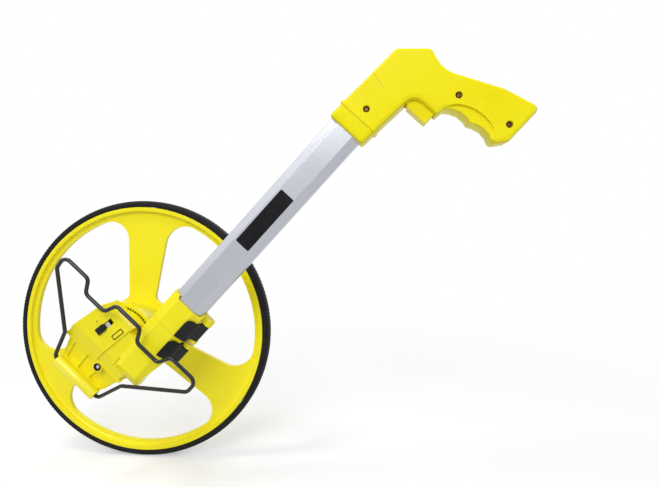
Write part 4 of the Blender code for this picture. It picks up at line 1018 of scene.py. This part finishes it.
def makeHandleCrease():
    # the short line across the handle's flat front: a nearly flush strip whose darker yellow is
    # painted shade of a shallow groove
    bm = bmesh.new()
    start, end = Vector(handleCrease["start"]), Vector(handleCrease["end"])
    along = end - start
    width, face = handleCrease["width"], handleCrease["face"]
    outline = roundedBox(width, along.length, width * handleCrease["cornerShare"],
                         tuple((start + end) / 2), math.atan2(along.x, along.y))
    slab(bm, outline, face - handleCrease["sunk"], face + handleCrease["rise"])
    addPiece("handleCrease", bm, "creasePaintedShade", "outer_body", poleSpace)


levers = {
    "lower": (0.0335, 0.0575, "lower_lever_body"),     # foot and top up the pole
    "upper": (0.0620, 0.0860, "upper_lever_body"),
    "ribs": (0.0135, 0.0166, 0.0197),                  # across, on the slanted face
    "rise": 0.0054,                                    # outer face above the tube
    "ribRadius": 0.0007,
    "ribShare": 0.45,                                  # of its radius: its middle, behind the face
    "ribInset": 0.0028,
    "firstRibShare": 1.6,                              # of the inset, at the rounded corner
    "chamferWidth": 0.0085,
    "chamferDepth": 0.0045,
    "tubeHalfWidth": 0.0185,
    "tubeHalfDepth": 0.0100,
}


def leverFace(across):
    # depth of a lever's slanted outer face, in front of the pole's middle
    slope = levers["chamferDepth"] / levers["chamferWidth"]
    edge = levers["tubeHalfDepth"] - levers["chamferDepth"] + levers["rise"] * math.hypot(1, slope)
    return edge + (levers["tubeHalfWidth"] - across) * slope


def makeLeverRibs():
    for name in ("lower", "upper"):
        foot, top, body = levers[name]
        bm = bmesh.new()
        for number, across in enumerate(levers["ribs"]):
            depth = -leverFace(across) + levers["ribRadius"] * levers["ribShare"]
            rounding = levers["ribInset"] * (levers["firstRibShare"] if number == 0 else 1)
            capsule(bm, (across, depth, foot + levers["ribInset"]),
                    (across, depth, top - rounding), levers["ribRadius"])
        addPiece(f"{name}LeverRibs", bm, "leverBlack", body, poleSpace,
                 pieceEdges["ridged"])


drums = {
    "count": 5,
    "axis": -0.0291,          # across from the axle
    "first": 0.0712,          # depth of the first drum's back
    "pitch": 0.0034,
    "width": 0.0030,
    "radius": 0.0081,
    "window": math.radians(166.2),
    "textSize": 0.0044,
    "ink": 0.00004,
    "digits": 10,
    "bends": 3,                        # cuts above and below a digit's middle, to bend it at
    "bendStep": 0.00055,
    "curveSteps": 3,
}


def digitMesh(digit):
    curve = bpy.data.curves.new(f"digit{digit}", "FONT")
    curve.body = str(digit)
    curve.size = drums["textSize"]
    curve.align_x = "CENTER"
    curve.align_y = "CENTER"
    curve.resolution_u = drums["curveSteps"]
    curve.extrude = drums["ink"]
    source = bpy.data.objects.new(f"digit{digit}", curve)
    bpy.context.scene.collection.objects.link(source)
    graph = bpy.context.evaluated_depsgraph_get()
    mesh = bpy.data.meshes.new_from_object(source.evaluated_get(graph))
    bpy.data.objects.remove(source, do_unlink=True)
    bpy.data.curves.remove(curve)
    return mesh


def makeDigits():
    shapes = [digitMesh(digit) for digit in range(drums["digits"])]
    for drum in range(drums["count"]):
        bm = bmesh.new()
        middle = drums["first"] + drum * drums["pitch"] + drums["width"] / 2
        for digit, shape in enumerate(shapes):
            part = bmesh.new()
            part.from_mesh(shape)
            for cut in range(-drums["bends"], drums["bends"] + 1):
                level = drums["bendStep"] * cut
                bmesh.ops.bisect_plane(part, geom=part.verts[:] + part.edges[:] + part.faces[:],
                                       plane_co=(0, level, 0), plane_no=(0, 1, 0))
            for vert in part.verts:
                radius = drums["radius"] + vert.co.z
                turn = (drums["window"] - 2 * math.pi / drums["digits"] * digit
                        + vert.co.y / drums["radius"])
                vert.co = (drums["axis"] + radius * math.cos(turn), vert.co.x - middle,
                           radius * math.sin(turn))
            holder = bpy.data.meshes.new("digitPart")
            part.to_mesh(holder)
            part.free()
            bm.from_mesh(holder)
            bpy.data.meshes.remove(holder)
        addPiece(f"drumDigits{drum + 1}", bm, "printBlack", f"drum_{drum + 1}_body",
                 hubSpace)
    for shape in shapes:
        bpy.data.meshes.remove(shape)


makeTubeLabel()
makeIcon()
makeSliderDetails()
makeScrewLiner()
makeSeamStrip()
makeBarrelSkin()
makeHandleCrease()
makeLeverRibs()
makeDigits()
print("label, counter details, lever ribs and digits made")


studio = {
    "cameraDistance": 0.5762,
    "cameraAcross": 0.2824,
    "cameraLevel": 0.1281,
    "cameraRight": (0.9961, 0.0881, 0),
    "cameraAhead": (-0.088, 0.9955, -0.0364),
    "cameraClip": 0.01,
    "focalPixels": 480,       # of a picture 658 wide
    "pictureWidth": 658,
    "sensor": 36,
    "middle": 0.15,           # across, where the floor's centre and most lamps' aim lie
    "floorColour": (0.70, 0.70, 0.70),
    "floorRough": 0.9,
    "floorRadius": 3.0,
    "floorSteps": 64,
    "floorGlow": 0.38,        # lifts the unshaded floor to the background's white
    "floorPlain": 0.25,       # it starts to fade this far out
    "floorReach": 1.1,        # and has faded into the white background here
    "skyColour": (0.97, 0.98, 1.0),
    "skyStrength": 0.40,
}

# each lamp's place, the point it faces, its size and its power
lamps = {
    "frontLamp": ((0.0, -2.1, 1.5), (studio["middle"], 0, 0.05), 1.4, 27.8),
    "sideLamp": ((-0.55, -0.45, 1.6), (0.10, 0, 0.05), 0.45, 7.0),
    "fillLamp": ((1.4, -0.9, 0.8), (studio["middle"], 0, 0), 1.2, 2.6),
    "leftLamp": ((-1.1, -0.6, 1.1), (studio["middle"], 0, 0.1), 1.2, 1.8),
    "backLamp": ((0.4, 1.5, 1.2), (studio["middle"], 0, 0), 1.0, 4.0),
}


def makeCamera():
    data = bpy.data.cameras.new("photoView")
    data.lens = studio["focalPixels"] / studio["pictureWidth"] * studio["sensor"]
    data.sensor_width = studio["sensor"]
    data.clip_start = studio["cameraClip"]
    camera = bpy.data.objects.new("photoView", data)
    right = Vector(studio["cameraRight"]).normalized()
    ahead = Vector(studio["cameraAhead"]).normalized()
    up = right.cross(ahead).normalized()
    right = ahead.cross(up)
    turn = Matrix((right, up, -ahead)).transposed().to_4x4()
    place = (studio["cameraAcross"], tool["wheelMiddle"] - studio["cameraDistance"],
             studio["cameraLevel"])
    camera.matrix_world = Matrix.Translation(place) @ turn
    bpy.context.scene.collection.objects.link(camera)
    bpy.context.scene.camera = camera


def makeLamp(name, place, target, size, power):
    data = bpy.data.lights.new(name, "AREA")
    data.shape = "DISK"
    data.size = size
    data.energy = power
    lamp = bpy.data.objects.new(name, data)
    aim = (Vector(target) - Vector(place)).to_track_quat("-Z", "Y")
    lamp.location = place
    lamp.rotation_euler = aim.to_euler()
    bpy.context.scene.collection.objects.link(lamp)


def seesWhite(tree):
    # 1 for camera, glossy and transmission rays, so that metal and glass show the white too
    path = tree.nodes.new("ShaderNodeLightPath")
    last = path.outputs["Is Camera Ray"]
    for ray in ("Is Glossy Ray", "Is Transmission Ray"):
        either = addNode(tree, "ShaderNodeMath", operation="MAXIMUM")
        tree.links.new(last, either.inputs[0])
        tree.links.new(path.outputs[ray], either.inputs[1])
        last = either.outputs[0]
    return last


def makeSky():
    world = bpy.data.worlds.new("studioSky")
    bpy.context.scene.world = world
    world.use_nodes = True
    tree = world.node_tree
    light = tree.nodes["Background"]
    light.inputs["Color"].default_value = (*studio["skyColour"], 1)
    light.inputs["Strength"].default_value = studio["skyStrength"]
    white = tree.nodes.new("ShaderNodeBackground")
    white.inputs["Color"].default_value = (1, 1, 1, 1)
    mix = tree.nodes.new("ShaderNodeMixShader")
    tree.links.new(seesWhite(tree), mix.inputs[0])
    tree.links.new(light.outputs[0], mix.inputs[1])
    tree.links.new(white.outputs[0], mix.inputs[2])
    tree.links.new(mix.outputs[0], tree.nodes["World Output"].inputs["Surface"])


def makeFloor():
    mesh = bpy.data.meshes.new("studioFloor")
    bm = bmesh.new()
    bmesh.ops.create_circle(bm, cap_ends=True, segments=studio["floorSteps"],
                            radius=studio["floorRadius"])
    bm.to_mesh(mesh)
    bm.free()
    floor = bpy.data.objects.new("studioFloor", mesh)
    floor.location = (studio["middle"], tool["wheelMiddle"], -tool["wheelRadius"])
    bpy.context.scene.collection.objects.link(floor)
    material, tree, shader = newMaterial("studioFloor")
    shader.inputs["Base Color"].default_value = (*studio["floorColour"], 1)
    shader.inputs["Roughness"].default_value = studio["floorRough"]
    place = tree.nodes.new("ShaderNodeTexCoord")
    length = addNode(tree, "ShaderNodeVectorMath", operation="LENGTH")
    tree.links.new(place.outputs["Object"], length.inputs[0])
    fade = tree.nodes.new("ShaderNodeMapRange")
    fade.interpolation_type = "SMOOTHSTEP"
    fade.inputs["From Min"].default_value = studio["floorPlain"]
    fade.inputs["From Max"].default_value = studio["floorReach"]
    tree.links.new(length.outputs["Value"], fade.inputs["Value"])
    glow = tree.nodes.new("ShaderNodeEmission")
    lift = addNode(tree, "ShaderNodeMath", operation="MULTIPLY")
    lift.inputs[1].default_value = studio["floorGlow"]
    tree.links.new(seesWhite(tree), lift.inputs[0])
    tree.links.new(lift.outputs[0], glow.inputs["Strength"])
    lit = tree.nodes.new("ShaderNodeAddShader")
    tree.links.new(shader.outputs[0], lit.inputs[0])
    tree.links.new(glow.outputs[0], lit.inputs[1])
    clear = tree.nodes.new("ShaderNodeBsdfTransparent")
    mix = tree.nodes.new("ShaderNodeMixShader")
    tree.links.new(fade.outputs["Result"], mix.inputs[0])
    tree.links.new(lit.outputs[0], mix.inputs[1])
    tree.links.new(clear.outputs[0], mix.inputs[2])
    tree.links.new(mix.outputs[0], tree.nodes["Material Output"].inputs["Surface"])
    mesh.materials.append(material)


bpy.context.scene.view_settings.view_transform = "Standard"
makeCamera()
makeSky()
makeFloor()
for lampName, setting in lamps.items():
    makeLamp(lampName, *setting)
print("camera, floor and lamps set")
